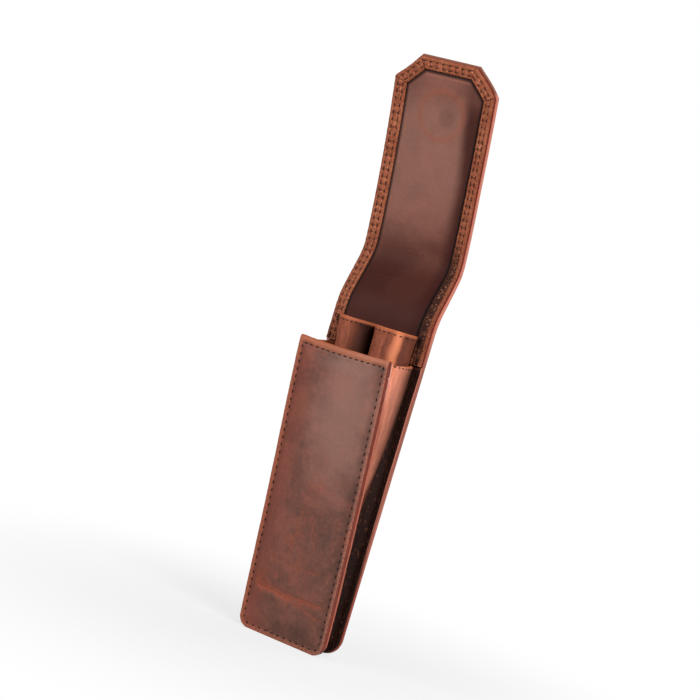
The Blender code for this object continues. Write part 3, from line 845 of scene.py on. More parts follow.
class SideProfile:
    """The line that the back and the flap follow, seen from the side, at the leather's middle."""

    STEP = 0.2 * MM
    BEYOND = 5 * MM

    def __init__(self):
        rise = UPPER_FOLD.z - LOWER_FOLD.z - STRIP_BEND_RISE
        depth = UPPER_FOLD.y - LOWER_FOLD.y
        lean = math.atan2(depth, rise)
        bend = LOWER_FOLD.z + STRIP_BEND_RISE
        self.lower = LOWER_FOLD.z
        self.upper = bend + math.hypot(rise, depth)
        self.tip = self.upper + FLAP_LENGTH
        self.split = (self.lower + self.upper) / 2
        self.along = np.arange(-self.BEYOND, self.tip + self.BEYOND, self.STEP)
        bow = sizes().flap_bow
        turned_back = smooth_step(self.along, self.upper - UPPER_BEND, self.upper + UPPER_BEND)
        self.heading = lean * smooth_step(self.along, bend - LOWER_BEND, bend + LOWER_BEND)
        self.heading -= (lean + FLAP_LEAN - bow) * turned_back
        self.heading -= 2 * bow * self.on_flap(self.along)
        step = np.diff(self.along, prepend=self.along[0])
        start = np.searchsorted(self.along, 0)
        self.depth = np.cumsum(np.sin(self.heading) * step)
        self.height = np.cumsum(np.cos(self.heading) * step)
        self.depth += LOWER_FOLD.y - self.depth[start]
        self.height -= self.height[start] - self.along[start]

    def on_flap(self, along):
        """0 up to the upper fold, rising to 1 at the flap's tip."""
        return np.clip((along - self.upper) / FLAP_LENGTH, 0, 1)

    def bent(self, points):
        """Flat points, moved onto the profile."""
        across, along, level = points.T
        on_flap = self.on_flap(along)
        right = 0.5 + across / HALF_BACK / 2
        drawn = LEFT_DRAWN * smooth_step(along, *LEFT_DRAWN_OVER) * (1 - right)
        drawn = drawn + RIGHT_DRAWN * smooth_step(on_flap, 0.1, 0.5) * right
        inner = 1 - (across / HALF_BACK) ** 4
        inner = inner * (1 - 0.6 * smooth_step(along, self.tip - 8 * MM, self.tip))
        drawn = drawn - WINDOW_SHIFT * inner * smooth_step(along, self.lower, self.upper + 15 * MM)
        along = along - FLAP_SKEW * across * smooth_step(on_flap, 0.3, 1.0)
        heading = np.interp(along, self.along, self.heading)
        outwards = MIDDLE - level - sizes().flap_twist * on_flap**2 * (1 - right)
        depth = np.interp(along, self.along, self.depth) + outwards * np.cos(heading)
        height = np.interp(along, self.along, self.height) - outwards * np.sin(heading)
        return np.column_stack([across - drawn, depth, height])


def leant(points):
    """Points of the flat front panel, leant outwards; its outer face is at level 0."""
    sine, cosine = math.sin(FRONT_TILT), math.cos(FRONT_TILT)
    across, along, level = points.T
    share = np.clip((along - FRONT_CORNER) / (FRONT_LENGTH - FRONT_CORNER), 0, 1)
    right = 0.5 + across / HALF_FRONT / 2
    bow = 1 + FRONT_BOW * (0.4 + 0.6 * right) * np.sqrt(np.abs(np.sin(math.pi * share)))
    flare = LEFT_FLARE * smooth_step(along, 0.35 * FRONT_LENGTH, FRONT_LENGTH) * (1 - right)
    sag = MOUTH_SAG * smooth_step(along, 0.85 * FRONT_LENGTH, FRONT_LENGTH)
    along = along - sag * (1 - (across / HALF_FRONT) ** 2)
    depth = BACK_FACE - FRONT_FOOT - along * sine - level * cosine
    return np.column_stack([across * bow - flare, depth, along * cosine - level * sine])


def finish_flat(piece, placed, outline=None):
    """Stores where each point lies on the flat leather, then puts the piece in its place."""
    points = points_of(piece)
    store(piece, "flat", points)
    if outline is not None:
        store(piece, "rim", outline.inset(points))
    put_points(piece, placed(points))
    smooth(piece)


def ride_lower(piece):
    """Bakes the piece's placement into its mesh."""
    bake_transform(piece)


def ride_upper(piece):
    """Bakes the piece's placement into its mesh."""
    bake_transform(piece)


def ride_flap(piece):
    """The piece goes with the flap."""
    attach(piece, "flap")


def cut_at_split(piece, profile, keep_lower):
    """Ends a sheet at the middle of the top strip, where it meets the sheet beyond."""
    edit(piece)
    side = 1 if keep_lower else -1
    bpy.ops.mesh.bisect(
        plane_co=(0, profile.split, 0), plane_no=(0, side, 0), clear_outer=True, use_fill=True
    )
    bpy.ops.object.mode_set(mode="OBJECT")


def inner_chamfer(inset):
    """The flap's chamfer on an outline that lies inside the leather's edge."""
    return FLAP_CHAMFER - inset * (2 - math.sqrt(2))


def long_sheet(name, outline, levels, coarse, materials, relief=None):
    """A sheet of the back or flap between two levels, bent to the side profile."""
    profile = SideProfile()
    across = fine_then_coarse(outline.half, 6 * MM, 0.6 * MM, coarse)
    along = even_steps(outline.bottom, outline.top, 1.0 * MM)
    piece = blank(name, across, along, levels[0])
    outline.trim(piece)
    dress(piece, *materials)
    thicken(piece, levels[1] - levels[0], rim_slot=len(materials) - 1)
    if relief is not None:
        points = points_of(piece)
        points[:, 2] += relief(points, outline.inset(points))
        put_points(piece, points)
    cut_at_split(piece, profile, keep_lower=outline.bottom < profile.split - SHEET_OVERRUN)
    finish_flat(piece, profile.bent, outline)
    return piece


class PENCASE_OT_outer_leather(bpy.types.Operator):
    """Outer leather of the back, the top and the flap: two sheets that meet in the middle of the top."""

    bl_idname = "pen_case.outer_leather"
    bl_label = "Outer leather"

    def execute(self, context):
        tint = colours()
        profile = SideProfile()
        hide = leather("Outer leather", tint.front, tint.front_dark, tint.front_worn, paint_cover)
        # The back's cut edge carries a painted rim light
        rim = cut_edge(
            "Back's cut edge", tint.back_edge_rim_lit, tint.edge_fibre_and_sheen, (profile.tip - FLAP_CHAMFER) / MM
        )
        back = Outline(HALF_BACK, BACK_FOOT, profile.split + SHEET_OVERRUN)
        flap = Outline(HALF_BACK, profile.split - SHEET_OVERRUN, profile.tip)
        back.rounded_foot(BACK_CORNER)
        flap.chamfered_tip(FLAP_CHAMFER)
        for name, outline, fold, ride in (
            ("back", back, "lower_fold", ride_lower),
            ("flap", flap, "upper_fold", ride_upper),
        ):
            piece = long_sheet(
                f"outer_leather_{name}", outline, COVER_LEVELS, 1.5 * MM, (hide, rim), self.relief
            )
            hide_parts(f"{name}_cover", fold, "top_cover")
            ride(piece)
        return {"FINISHED"}

    def relief(self, points, inset):
        """Grooves under the stitches of the outer face."""
        outer = points[:, 2] < COVER_LEVELS[1] / 2
        groove = 0.18 * MM * np.exp(-(((inset - BACK_SEAM) / (0.5 * MM)) ** 2))
        return groove * outer


class PENCASE_OT_lining(bpy.types.Operator):
    """Smooth lining with the mark of the hidden magnet, and the board behind it."""

    bl_idname = "pen_case.lining"
    bl_label = "Lining"

    def execute(self, context):
        tint = colours()
        profile = SideProfile()
        half = HALF_BACK - LINING_MARGIN
        back = Outline(half, LINING_FOOT, profile.split + SHEET_OVERRUN)
        flap = Outline(half, profile.split - SHEET_OVERRUN, profile.tip - LINING_MARGIN)
        flap.chamfered_tip(inner_chamfer(LINING_MARGIN))
        hide = self.lining_leather(profile)
        board = grey_board("Grey board", tint.board)
        for name, outline, ride in (("back", back, ride_lower), ("flap", flap, ride_upper)):
            piece = long_sheet(f"lining_{name}", outline, LINING_LEVELS, 1.0 * MM, (hide,), self.relief)
            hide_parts(f"{name}_lining", "top_lining")
            ride(piece)
            stiffener = long_sheet(f"board_{name}", outline, BOARD_LEVELS, 4.0 * MM, (board,))
            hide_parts(f"{name}_board", "top_board")
            ride(stiffener)
        return {"FINISHED"}

    def relief(self, points, inset):
        """The lining swells a little inside its border, and the magnet's rim shows through."""
        profile = SideProfile()
        shown = points[:, 2] > sum(LINING_LEVELS) / 2
        from_magnet = np.hypot(points[:, 0], points[:, 1] - profile.upper - MAGNET_FROM_FOLD)
        ring = np.exp(-(((from_magnet - MAGNET_RADIUS) / (1.1 * MM)) ** 2)) * 0.16 * MM
        plate = (1 - smooth_step(from_magnet, 8.5 * MM, MAGNET_RADIUS)) * 0.10 * MM
        crown = smooth_step(inset, 0, 5 * MM) * 0.35 * MM - 0.15 * MM
        return (crown + ring + plate) * shown

    def lining_leather(self, profile):
        """Smooth leather with a painted sheen towards the magnet, painted shade at its right side, low
        down and along its rim, and a painted highlight on its rim near the tip.
        """
        tint = colours()
        finish = Finish("Lining leather")
        place = finish.flat_place()
        across, along, _ = finish.parts(place)
        patches = finish.clouds(place, 0.05, 4.0, 0.55, 0.3)
        tone = finish.mixed(patches.rising(0.34, 0.66), tint.lining_dark, tint.lining)
        drift = (finish.clouds(place, 0.07, 4.0) - 0.5) * 10.0
        fold, tip = profile.upper / MM, profile.tip / MM
        magnet = (profile.upper + MAGNET_FROM_FOLD) / MM
        # Painted sheen, paler towards the magnet
        pale = (across * -0.3 + along + drift).rising(magnet - 72.0, magnet - 22.0)
        fading = along.rising(magnet - 2.0, magnet + 13.0) * 0.3
        tone = finish.mixed(pale * (0.56 - fading), tone, tint.front_sheen)
        weaker = (along + drift).rising(magnet, magnet + 16.0) * 0.5
        lean = (along - magnet).rising(-35.0, 15.0) * 3.5 - 2.5
        right = (across + drift * 0.35 + lean).rising(8.2, 14.2) * (0.92 - weaker)
        tone = finish.mixed(right, tone, tint.lining_shade)
        # Painted shade over the lower lining
        low = (along + drift * 0.8).falling(fold - 10.0, fold + 18.0)
        tone = finish.mixed(low * 0.85, tone, tint.lining_shade)
        ragged = finish.distance(across, along - magnet) + (finish.clouds(place, 0.25, 3.0) - 0.5) * 2.5
        ring = abs(ragged - MAGNET_RADIUS / MM).falling(0.4, 2.2)
        tone = finish.mixed(ring * 0.17, tone, tint.front_worn)
        aside, above, _ = finish.parts(finish.moved(place, (-3.3, -magnet + 1.1, 0.0)))
        smudge = (finish.distance(aside, above) + ragged * 0.15).falling(2.0, 6.5)
        tone = finish.mixed(smudge * 0.38, tone, tint.front_dark)
        rim = finish.rim()
        # Painted highlight where the rim near the tip catches the light
        rim_highlight = abs(rim - 1.7).falling(0.1, 0.8) * along.rising(tip - 9.0, tip - 7.0)
        tone = finish.mixed(rim_highlight * 0.3, tone, tint.edge_fibre_and_sheen)
        # Painted shade along the rim, under the border
        tone = finish.multiplied(1.0, tone, rim.rising(0.2, 1.7) * 0.88 + 0.12)
        mottle = finish.clouds(place, 0.8, 4.0, 0.6)
        tone = finish.multiplied(1.0, tone, mottle * 0.3 + 0.85)
        wrinkles = finish.clouds(finish.scaled(place, (0.12, 0.9, 0.5)), 1.0, 3.0, 0.6)
        near_fold = abs(along - fold).falling(5.0, 26.0)
        height = finish.clouds(place, 2.6, 3.0) * 0.5 + wrinkles * near_fold * 2.2
        rough = mottle * 0.12 + patches * 0.1 + 0.40
        return finish.surface(tone, rough, height, 0.06 * MM, Specular_IOR_Level=0.08)


def border_chains():
    """Outer and inner corners of the border, from the right foot over the tip to the left foot."""
    profile = SideProfile()

    def chain(inset):
        half, tip = HALF_BACK - inset, profile.tip - inset
        chamfer = inner_chamfer(inset)
        right = [
            Vector((half, BORDER_FOOT)),
            Vector((half, profile.split)),
            Vector((half, tip - chamfer)),
            Vector((half - chamfer, tip)),
        ]
        return right + [Vector((-corner.x, corner.y)) for corner in reversed(right)]

    return chain(BORDER_REVEAL), chain(BORDER_REVEAL + sizes().border_width)


# Stretches of the border in order: name, the nodes that it stands for, and how it moves
BORDERS = (
    ("border_right_back", ("back_border_right", "top_border_right"), ride_lower),
    ("border_right_flap", ("flap_border_right", "top_border_right"), ride_upper),
    ("border_right_corner", ("flap_border_right_corner",), ride_flap),
    ("border_tip", ("flap_border_tip",), ride_flap),
    ("border_left_corner", ("flap_border_left_corner",), ride_flap),
    ("border_left_flap", ("flap_border_left", "top_border_left"), ride_upper),
    ("border_left_back", ("back_border_left", "top_border_left"), ride_lower),
)


def border_frames():
    """For each stretch of border: its name, nodes, ride, start, directions, length and mitres."""
    outer, inner = border_chains()
    frames = []
    for i, (name, nodes, ride) in enumerate(BORDERS):
        start, end = outer[i], outer[i + 1]
        along = (end - start).normalized()
        inward = Vector((-along.y, along.x))
        mitres = [(inner[i] - start).dot(along), (inner[i + 1] - end).dot(along)]
        frames.append((name, nodes, ride, start, along, inward, (end - start).length, mitres))
    return frames


def stitch_rows():
    """Distances of the border's two rows of stitches from its outer edge."""
    return OUTER_ROW, sizes().border_width - INNER_ROW


class PENCASE_OT_border(bpy.types.Operator):
    """Border of narrow strips, mitred at the corners and gathered by two rows of stitches."""

    bl_idname = "pen_case.border"
    bl_label = "Border"

    # Mesh lines: the step along a strip, and how far from a row of stitches they lie, in mm
    SLICE = 0.75 * MM
    LINES_AT_A_ROW = (-0.45, -0.2, 0.0, 0.2, 0.45)

    def execute(self, context):
        tint = colours()
        hide = leather(
            "Border leather",
            tint.border,
            tint.border_cloud,
            tint.front_worn,
            paint_border,
            cloud=0.12,
            grain=1.9,
            grain_depth=0.16 * MM,
            gloss=0.5,
            shine=0.1,
        )
        for name, nodes, ride, start, along, inward, length, mitres in border_frames():
            piece = self.strip(name, length, mitres)
            points = points_of(piece)
            points[:, 2] += self.relief(points, start)
            steps = points[:, 1] / sizes().stitch_pitch
            store(piece, "strip", np.column_stack([steps, points[:, 0], points[:, 2]]))
            placed = np.outer(points[:, 0], inward) + np.outer(points[:, 1], along) + np.array(start)
            put_points(piece, np.column_stack([placed, points[:, 2]]))
            dress(piece, hide)
            finish_flat(piece, SideProfile().bent)
            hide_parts(*nodes)
            ride(piece)
        return {"FINISHED"}

    def strip(self, name, length, mitres):
        """A bar along Y with rounded upper edges, sliced for bending and cut at its mitres."""
        width = sizes().border_width
        low, high = BORDER_LEVELS
        select_only()
        bpy.ops.mesh.primitive_cube_add(size=1)
        piece = added(name)
        overrun = width
        points = points_of(piece)
        points[:, 0] = (points[:, 0] + 0.5) * width
        points[:, 1] = (points[:, 1] + 0.5) * (length + 2 * overrun) - overrun
        points[:, 2] = low + (points[:, 2] + 0.5) * (high - low)
        put_points(piece, points)
        edit(piece)
        bpy.ops.mesh.select_mode(type="EDGE")
        self.round_edge(piece, 0.0, length, SHOULDER, 5)
        self.round_edge(piece, width, length, INNER_ROUNDING, 3)
        self.cut(0, mitres[0], -1)
        self.cut(length, mitres[1], 1)
        for place in self.lines_across(width):
            self.slice((place, 0, 0), (1, 0, 0))
        for place in even_steps(-overrun, length + overrun, self.SLICE)[1:-1]:
            self.slice((0, place, 0), (0, 1, 0))
        bpy.ops.mesh.select_all(action="SELECT")
        bpy.ops.mesh.remove_doubles(threshold=TOUCHING)
        bpy.ops.mesh.normals_make_consistent(inside=False)
        bpy.ops.object.mode_set(mode="OBJECT")
        return piece

    def round_edge(self, piece, place, length, radius, segments):
        """Rounds the upper edge that runs along the strip at a place across it."""
        bpy.ops.mesh.select_all(action="DESELECT")
        mesh = bmesh.from_edit_mesh(piece.data)
        for edge in mesh.edges:
            first, second = edge.verts
            lengthwise = abs(first.co.y - second.co.y) > length
            here = max(abs(first.co.x - place), abs(second.co.x - place)) < TOUCHING
            edge.select_set(lengthwise and here and first.co.z > sum(BORDER_LEVELS) / 2)
        bmesh.update_edit_mesh(piece.data)
        bpy.ops.mesh.bevel(offset=radius, segments=segments)

    def lines_across(self, width):
        """Lines at the middle and close together at both rows of stitches."""
        places = [width / 2]
        for row in stitch_rows():
            places += [row + shift * MM for shift in self.LINES_AT_A_ROW]
        return places

    def slice(self, point, normal):
        bpy.ops.mesh.select_all(action="SELECT")
        bpy.ops.mesh.bisect(plane_co=point, plane_no=normal)

    def cut(self, place, lean, side):
        """Ends the strip at a place, square or along its mitre, which stays open by half its seam."""
        direction = Vector((sizes().border_width, lean))
        normal = Vector((-direction.y, direction.x)).normalized() * side
        gap = 0 if lean == 0 else MITRE_SEAM / 2
        point = Vector((0, place)) - normal * gap
        bpy.ops.mesh.select_all(action="SELECT")
        bpy.ops.mesh.bisect(
            plane_co=(*point, 0), plane_no=(*normal, 0), clear_outer=True, use_fill=True
        )

    def relief(self, points, start):
        """Gathers, and grooves along both rows, deeper at each stitch, on the upper side only."""
        upper = smooth_step(points[:, 2], sum(BORDER_LEVELS) / 2, BORDER_LEVELS[1] - 0.4 * MM)
        phase = np.cos(points[:, 1] / sizes().stitch_pitch * math.tau)
        sink = np.zeros(len(points))
        for row in stitch_rows():
            groove = np.exp(-(((points[:, 0] - row) / (0.42 * MM)) ** 2))
            sink += groove * (0.34 + 0.10 * phase) * MM
        gathers = [
            noise.noise(Vector((x * 260 + start.x * 900, y * 620 + start.y * 700, 3.1)))
            for x, y, _ in points
        ]
        return upper * (np.array(gathers) * 0.26 * MM - sink)


class PENCASE_OT_front(bpy.types.Operator):
    """Front of the pocket: padded leather with a turned hem at its top."""

    bl_idname = "pen_case.front"
    bl_label = "Front"

    # The leather, the turn of its upper edge, the hem inside, and the doubling round the other edges
    LEATHER = 1.35 * MM
    TURN = 0.62 * MM
    TURN_START = FRONT_LENGTH - TURN - LEATHER / 2
    HEM = 5.4 * MM
    DOUBLING = 1.15 * MM

    def execute(self, context):
        tint = colours()
        outline = Outline(HALF_FRONT, 0.0, FRONT_LENGTH).rounded_foot(FRONT_CORNER)
        hide = leather(
            "Front leather", tint.front, tint.front_dark, tint.front_worn, paint_front, cloud=0.042
        )
        rim = cut_edge("Front's cut edge", tint.cut_edge, tint.lining_dark)
        across = fine_then_coarse(HALF_FRONT, 8.5 * MM, 0.55 * MM, 1.2 * MM)
        turn_end = self.TURN_START + math.pi * self.TURN
        # Close rows at the foot's corners and closer ones in the turned edge
        along = stretches(
            0.0,
            (10 * MM, 0.55 * MM),
            (FRONT_LENGTH - 6 * MM, 0.9 * MM),
            (self.TURN_START, 0.4 * MM),
            (turn_end, 0.2 * MM),
            (turn_end + self.HEM, 1.0 * MM),
        )
        piece = blank("front_leather", across, along)
        Outline(HALF_FRONT, 0.0, turn_end + self.HEM).rounded_foot(FRONT_CORNER).trim(piece)
        dress(piece, hide, rim)
        thicken(piece, self.LEATHER, side=-1, rounding=0.3 * MM)
        points = points_of(piece)
        inset = outline.inset(points)
        points[:, 2] += self.relief(points, self.seam_distance(points))
        points[:, 2] -= self.doubling(points, inset)
        store(piece, "flat", points)
        store(piece, "rim", np.minimum(inset, np.abs(FRONT_LENGTH - points[:, 1])))
        put_points(piece, leant(self.turned(points)))
        smooth(piece)
        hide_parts("front_cover")
        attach(piece, "pocket")
        return {"FINISHED"}

    def doubling(self, points, inset):
        """How much thicker the front is inwards round its rim, where the gusset is sewn on."""
        below_hem = 1 - smooth_step(points[:, 1], FRONT_LENGTH - 8 * MM, FRONT_LENGTH - 6.2 * MM)
        round_the_rim = 1 - smooth_step(inset, 2.9 * MM, 3.7 * MM)
        inner_face = points[:, 2] < -self.LEATHER / 2
        return self.DOUBLING * below_hem * round_the_rim * inner_face

    def seam_distance(self, points):
        """How far inside the line of stitches each point lies; negative in the band round it."""
        far_above = FRONT_LENGTH + 1.0
        sides = Outline(HALF_FRONT, 0.0, far_above).rounded_foot(FRONT_CORNER)
        from_sides = sides.inset(points) - sizes().front_seam
        from_top = FRONT_LENGTH - points[:, 1] - sizes().hem_seam
        return np.minimum(from_sides, from_top)

    def relief(self, points, seam):
        """A padded field inside the stitches, a groove under them and a few creases."""
        padding = sizes().front_padding * smooth_step(seam, 0.0, 7.0 * MM)
        groove = 0.26 * MM * np.exp(-((seam / (0.55 * MM)) ** 2))
        share = points[:, 0] / (CREASE_HALF * MM)
        creases = np.zeros(len(points))
        for middle, rise, slope, reach, strength in FRONT_CREASES:
            line = (middle + rise * share**2 + slope * share) * MM
            ends = 1 - smooth_step(np.abs(points[:, 0]), (reach - 5) * MM, reach * MM)
            creases += strength * ends * np.exp(-(((points[:, 1] - line) / (0.8 * MM)) ** 2))
        wander = [noise.noise(Vector((x * 70, y * 45, 7.7))) for x, y, _ in points]
        field = smooth_step(seam, 0.0, 5.0 * MM)
        puckers = [noise.noise(Vector((x * 700, y * 520, 2.3))) for x, y, _ in points]
        edge = np.array(puckers) * 0.14 * MM * (1 - smooth_step(seam, 0.0, 1.5 * MM))
        return padding - groove + edge + field * (np.array(wander) * 0.28 * MM - creases * 0.16 * MM)

    def turned(self, points):
        """The leather above the mouth's edge, turned over and down inside the pocket."""
        run = points[:, 1] - self.TURN_START
        angle = np.clip(run / self.TURN, 0, math.pi)
        past = np.maximum(run - math.pi * self.TURN, 0)
        centre = -self.LEATHER / 2 - self.TURN
        radius = points[:, 2] - centre
        along = np.where(run > 0, self.TURN_START + radius * np.sin(angle) - past, points[:, 1])
        level = np.where(run > 0, centre + radius * np.cos(angle), points[:, 2])
        return np.column_stack([points[:, 0], along, level])


def edge_station(half, corner, foot, stretch, value):
    """A point on a pocket panel's edge, and the direction in from it."""
    straight = half - corner
    if stretch == "foot":
        return Vector((straight * value, foot)), Vector((0, 1))
    if stretch == "corner":
        outward = Vector((math.sin(value), -math.cos(value)))
        return Vector((straight, foot + corner)) + outward * corner, -outward
    return Vector((half, value)), Vector((-1, 0))


# The gusset's section: inset from the panels' edges in mm, and share of the way from front to back
GUSSET_OPEN = (
    (0.15, 0.0), (1.6, 0.0), (2.9, 0.0), (3.3, 0.03), (1.6, 0.085), (0.75, 0.18), (0.9, 0.40),
    (1.4, 0.60), (1.9, 0.72), (2.9, 0.81), (4.1, 0.875), (4.9, 0.93), (5.0, 0.985), (4.2, 1.0),
    (2.7, 1.0), (1.4, 1.0), (0.15, 1.0),
)
GUSSET_FOLDED = (
    (0.15, 0.0), (1.6, 0.0), (2.9, 0.0), (3.2, 0.03), (3.4, 0.06), (3.7, 0.09), (4.1, 0.14),
    (4.6, 0.20), (5.2, 0.27), (6.0, 0.37), (6.8, 0.46), (6.9, 0.54), (5.9, 0.66), (4.8, 0.84),
    (3.5, 1.0), (1.7, 1.0), (0.15, 1.0),
)
# The most that it is inset in mm at the foot and over what heights that ends, the levels of its
# flanges behind and in front, how far the front one ends below the mouth's edge, from where, over
# what height and by what power the gusset opens, the step between the lines of its section, and its
# thickness in the front seam with the share of it in the hem
FOOT_FOLD_LIMIT = 4.6
LOOSENS_OVER = (8 * MM, 20 * MM)
FLANGE_LEVEL = BOARD_LEVELS[0] + GUSSET_LEATHER / 2
FRONT_FLANGE_LEVEL = 3.6 * MM
BELOW_MOUTH = 1.9 * MM
OPENS_FROM = 58 * MM
OPENS_OVER = 62 * MM
OPENING_POWER = 2.3
LINE_STEP = 1.9 * MM
GUSSET_FULL = 2.2 * MM
GUSSET_HEM_SHARE = 0.7


def gusset_point(stretch, value, line):
    """A point of the gusset's middle, on one of the lines of its section."""
    height_share = value
    if stretch == "side":
        height_share = min(value / math.cos(FRONT_TILT), FRONT_LENGTH - BELOW_MOUTH)
    front, front_in = edge_station(HALF_FRONT, FRONT_CORNER, 0.0, stretch, height_share)
    back, back_in = edge_station(HALF_BACK, BACK_CORNER, BACK_FOOT, stretch, value)
    opened = 1 - (1 - min(max((back.y - OPENS_FROM) / OPENS_OVER, 0.0), 1.0)) ** OPENING_POWER
    folded = GUSSET_FOLDED[line][0]
    loose = float(smooth_step(back.y, *LOOSENS_OVER))
    folded = min(folded, FOOT_FOLD_LIMIT) * (1 - loose) + folded * loose
    inset = (GUSSET_OPEN[line][0] * opened + folded * (1 - opened)) * MM
    share = GUSSET_OPEN[line][1] * opened + GUSSET_FOLDED[line][1] * (1 - opened)
    on_front = front + front_in * inset
    on_back = back + back_in * inset
    near = leant(np.array([[on_front.x, on_front.y, -FRONT_FLANGE_LEVEL]]))[0]
    far = np.array([on_back.x, BACK_FACE - FLANGE_LEVEL, on_back.y])
    return Vector(near + (far - near) * share)


def gusset_stations():
    """From the middle of the foot round its corner and up the side: the stretch, and the place on it."""
    stations = [("foot", i / 6) for i in range(6)]
    stations += [("corner", math.radians(90) * i / 10) for i in range(11)]
    heights = stretches(
        BACK_CORNER + BACK_FOOT, (GUSSET_TOP - HEM_ZONE, 3.2 * MM), (GUSSET_TOP, HEM_STEP)
    )
    return stations + [("side", float(height)) for height in heights[1:]]


def soft_sheet(name, lines, rows, line_step, place, moved):
    """A sheet with its right half at place(line, row), mirrored, and then moved out of true.

    It stores how far round its section each point lies, its height and its place across.
    """
    piece = blank(name, np.arange(lines) * 1.0, np.arange(rows) * 1.0)
    put_points(piece, [place(int(round(x)), int(round(y))) for x, y, _ in points_of(piece)])
    points = points_of(piece)
    around = np.arange(len(points)) % lines * line_step
    store(piece, "flat", np.column_stack([around, points[:, 2], points[:, 0]]))
    mirror = piece.modifiers.new("Other side", "MIRROR")
    mirror.merge_threshold = TOUCHING
    apply_modifiers(piece)
    put_points(piece, [moved(Vector(point)) for point in points_of(piece)])
    return piece


def soft_leather(piece, hide, thickness, share):
    """Gives a soft sheet its share(around, height) of a thickness at each point, and rounds it."""
    flat = np.empty(len(piece.data.vertices) * 3, np.float32)
    piece.data.attributes["flat"].data.foreach_get("vector", flat)
    weights = piece.vertex_groups.new(name="share")
    for vertex, around in zip(piece.data.vertices, flat[::3]):
        weights.add([vertex.index], share(around, vertex.co.z), "REPLACE")
    edit(piece)
    bpy.ops.mesh.normals_make_consistent(inside=False)
    bpy.ops.object.mode_set(mode="OBJECT")
    dress(piece, hide)
    solid = piece.modifiers.new("Thickness", "SOLIDIFY")
    solid.thickness = thickness
    solid.offset = 0
    solid.vertex_group = weights.name
    rounding = piece.modifiers.new("Soft", "SUBSURF")
    rounding.levels = 2
    rounding.render_levels = 2
    apply_modifiers(piece)
    piece.vertex_groups.clear()
    smooth(piece, SOFT_ANGLE)


class PENCASE_OT_gusset(bpy.types.Operator):
    """Gusset: one soft strip round the sides and foot, folded in low down and open at the mouth."""

    bl_idname = "pen_case.gusset"
    bl_label = "Gusset"

    def execute(self, context):
        tint = colours()
        hide = leather(
            "Gusset leather",
            tint.gusset,
            tint.gusset_cloud_and_sheen,
            tint.border,
            paint_gusset,
            cloud=0.07,
            grain=1.8,
            grain_depth=0.06 * MM,
            gloss=0.44,
            shine=0.08,
        )
        stations = gusset_stations()
        piece = soft_sheet(
            "gusset_leather",
            len(GUSSET_OPEN),
            len(stations),
            LINE_STEP,
            lambda line, row: gusset_point(*stations[row], line),
            gathered,
        )
        soft_leather(piece, hide, GUSSET_FULL, self.share)
        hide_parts("gusset")
        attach(piece, "pocket")
        return {"FINISHED"}

    def share(self, around, height):
        """Full thickness in the doubled front seam, less in the hem and single in the wall."""
        if around < 2.5 * LINE_STEP:
            return 1.0
        return GUSSET_HEM_SHARE if height > GUSSET_TOP - SOFT_HEM else GUSSET_LEATHER / GUSSET_FULL


# Gathers of the gusset at its lower corners: their place across and up, and their reach
GATHERS_ACROSS = 20 * MM
GATHERS_UP = 4 * MM
GATHERS_REACH = 7 * MM


def gathered(point):
    """A point of the gusset, moved by its soft unevenness and by the gathers at its lower corners."""
    across = (abs(point.x) - GATHERS_ACROSS) / GATHERS_REACH
    up = (point.z - GATHERS_UP) / GATHERS_REACH
    corner = math.exp(-(across**2) - up**2)
    swell = noise.noise(Vector((point.x * 60, point.y * 110, point.z * 55))) * 0.3
    pucker = noise.noise(Vector((point.x * 500, point.y * 160, point.z * 500))) * 0.6 * corner
    return point + Vector(((swell + pucker) * MM, 0, pucker * MM))


# How far use has pushed the tunnels to the right, at this distance from the middle: the left one, the
# right one, and how much further the left one below its hem
PUSHED_AT = 17 * MM
LEFT_PUSHED = 2.6 * MM
RIGHT_PUSHED = 1.2 * MM
LEFT_DENT = 1.6 * MM


def slack(point):
    """A point of the sleeve, moved by the unevenness of its tunnels and by use."""
    above = BACK_FACE - LINING_LEVELS[1] - point.y
    lift = float(smooth_step(above, 1.0 * MM, 6.0 * MM))
    swell = noise.noise(Vector((point.x * 95, point.y * 40, point.z * 38))) * lift * MM
    below = SLEEVE_TOP - point.z
    dent = float(smooth_step(below, 0.0, 14 * MM) * (1 - smooth_step(below, 16 * MM, 45 * MM)))
    push = LEFT_PUSHED + LEFT_DENT * dent if point.x < 0 else RIGHT_PUSHED
    pushed = push * abs(point.x) / PUSHED_AT * float(smooth_step(above, 0.5 * MM, 3.0 * MM))
    return point + Vector((swell * 0.3 + pushed, swell * 0.7, 0))


# A tunnel: its greatest rise, its outer foot, how much narrower it is low down and where it widens,
# the powers that make its section squarer across and in height than a circle, half the seam between
# the tunnels and that seam's share of the section, its room to the front, and its lean at the mouth;
# below the hem the leather is single, and has this share of the hem's thickness
TUNNEL_RISE = 12 * MM
TUNNEL_FOOT = 17.2 * MM
TUNNEL_TAPER = 3 * MM
TUNNEL_WIDENS = (40 * MM, 85 * MM)
SQUARE_ACROSS = 0.9
SQUARE_UP = 0.78
SLEEVE_SEAM = 1.2 * MM
SEAM_SHARE = 0.08
SLEEVE_CLEARANCE = 0.9 * MM
TUNNEL_LEAN = 2.2 * MM
SLEEVE_SINGLE_SHARE = 0.7


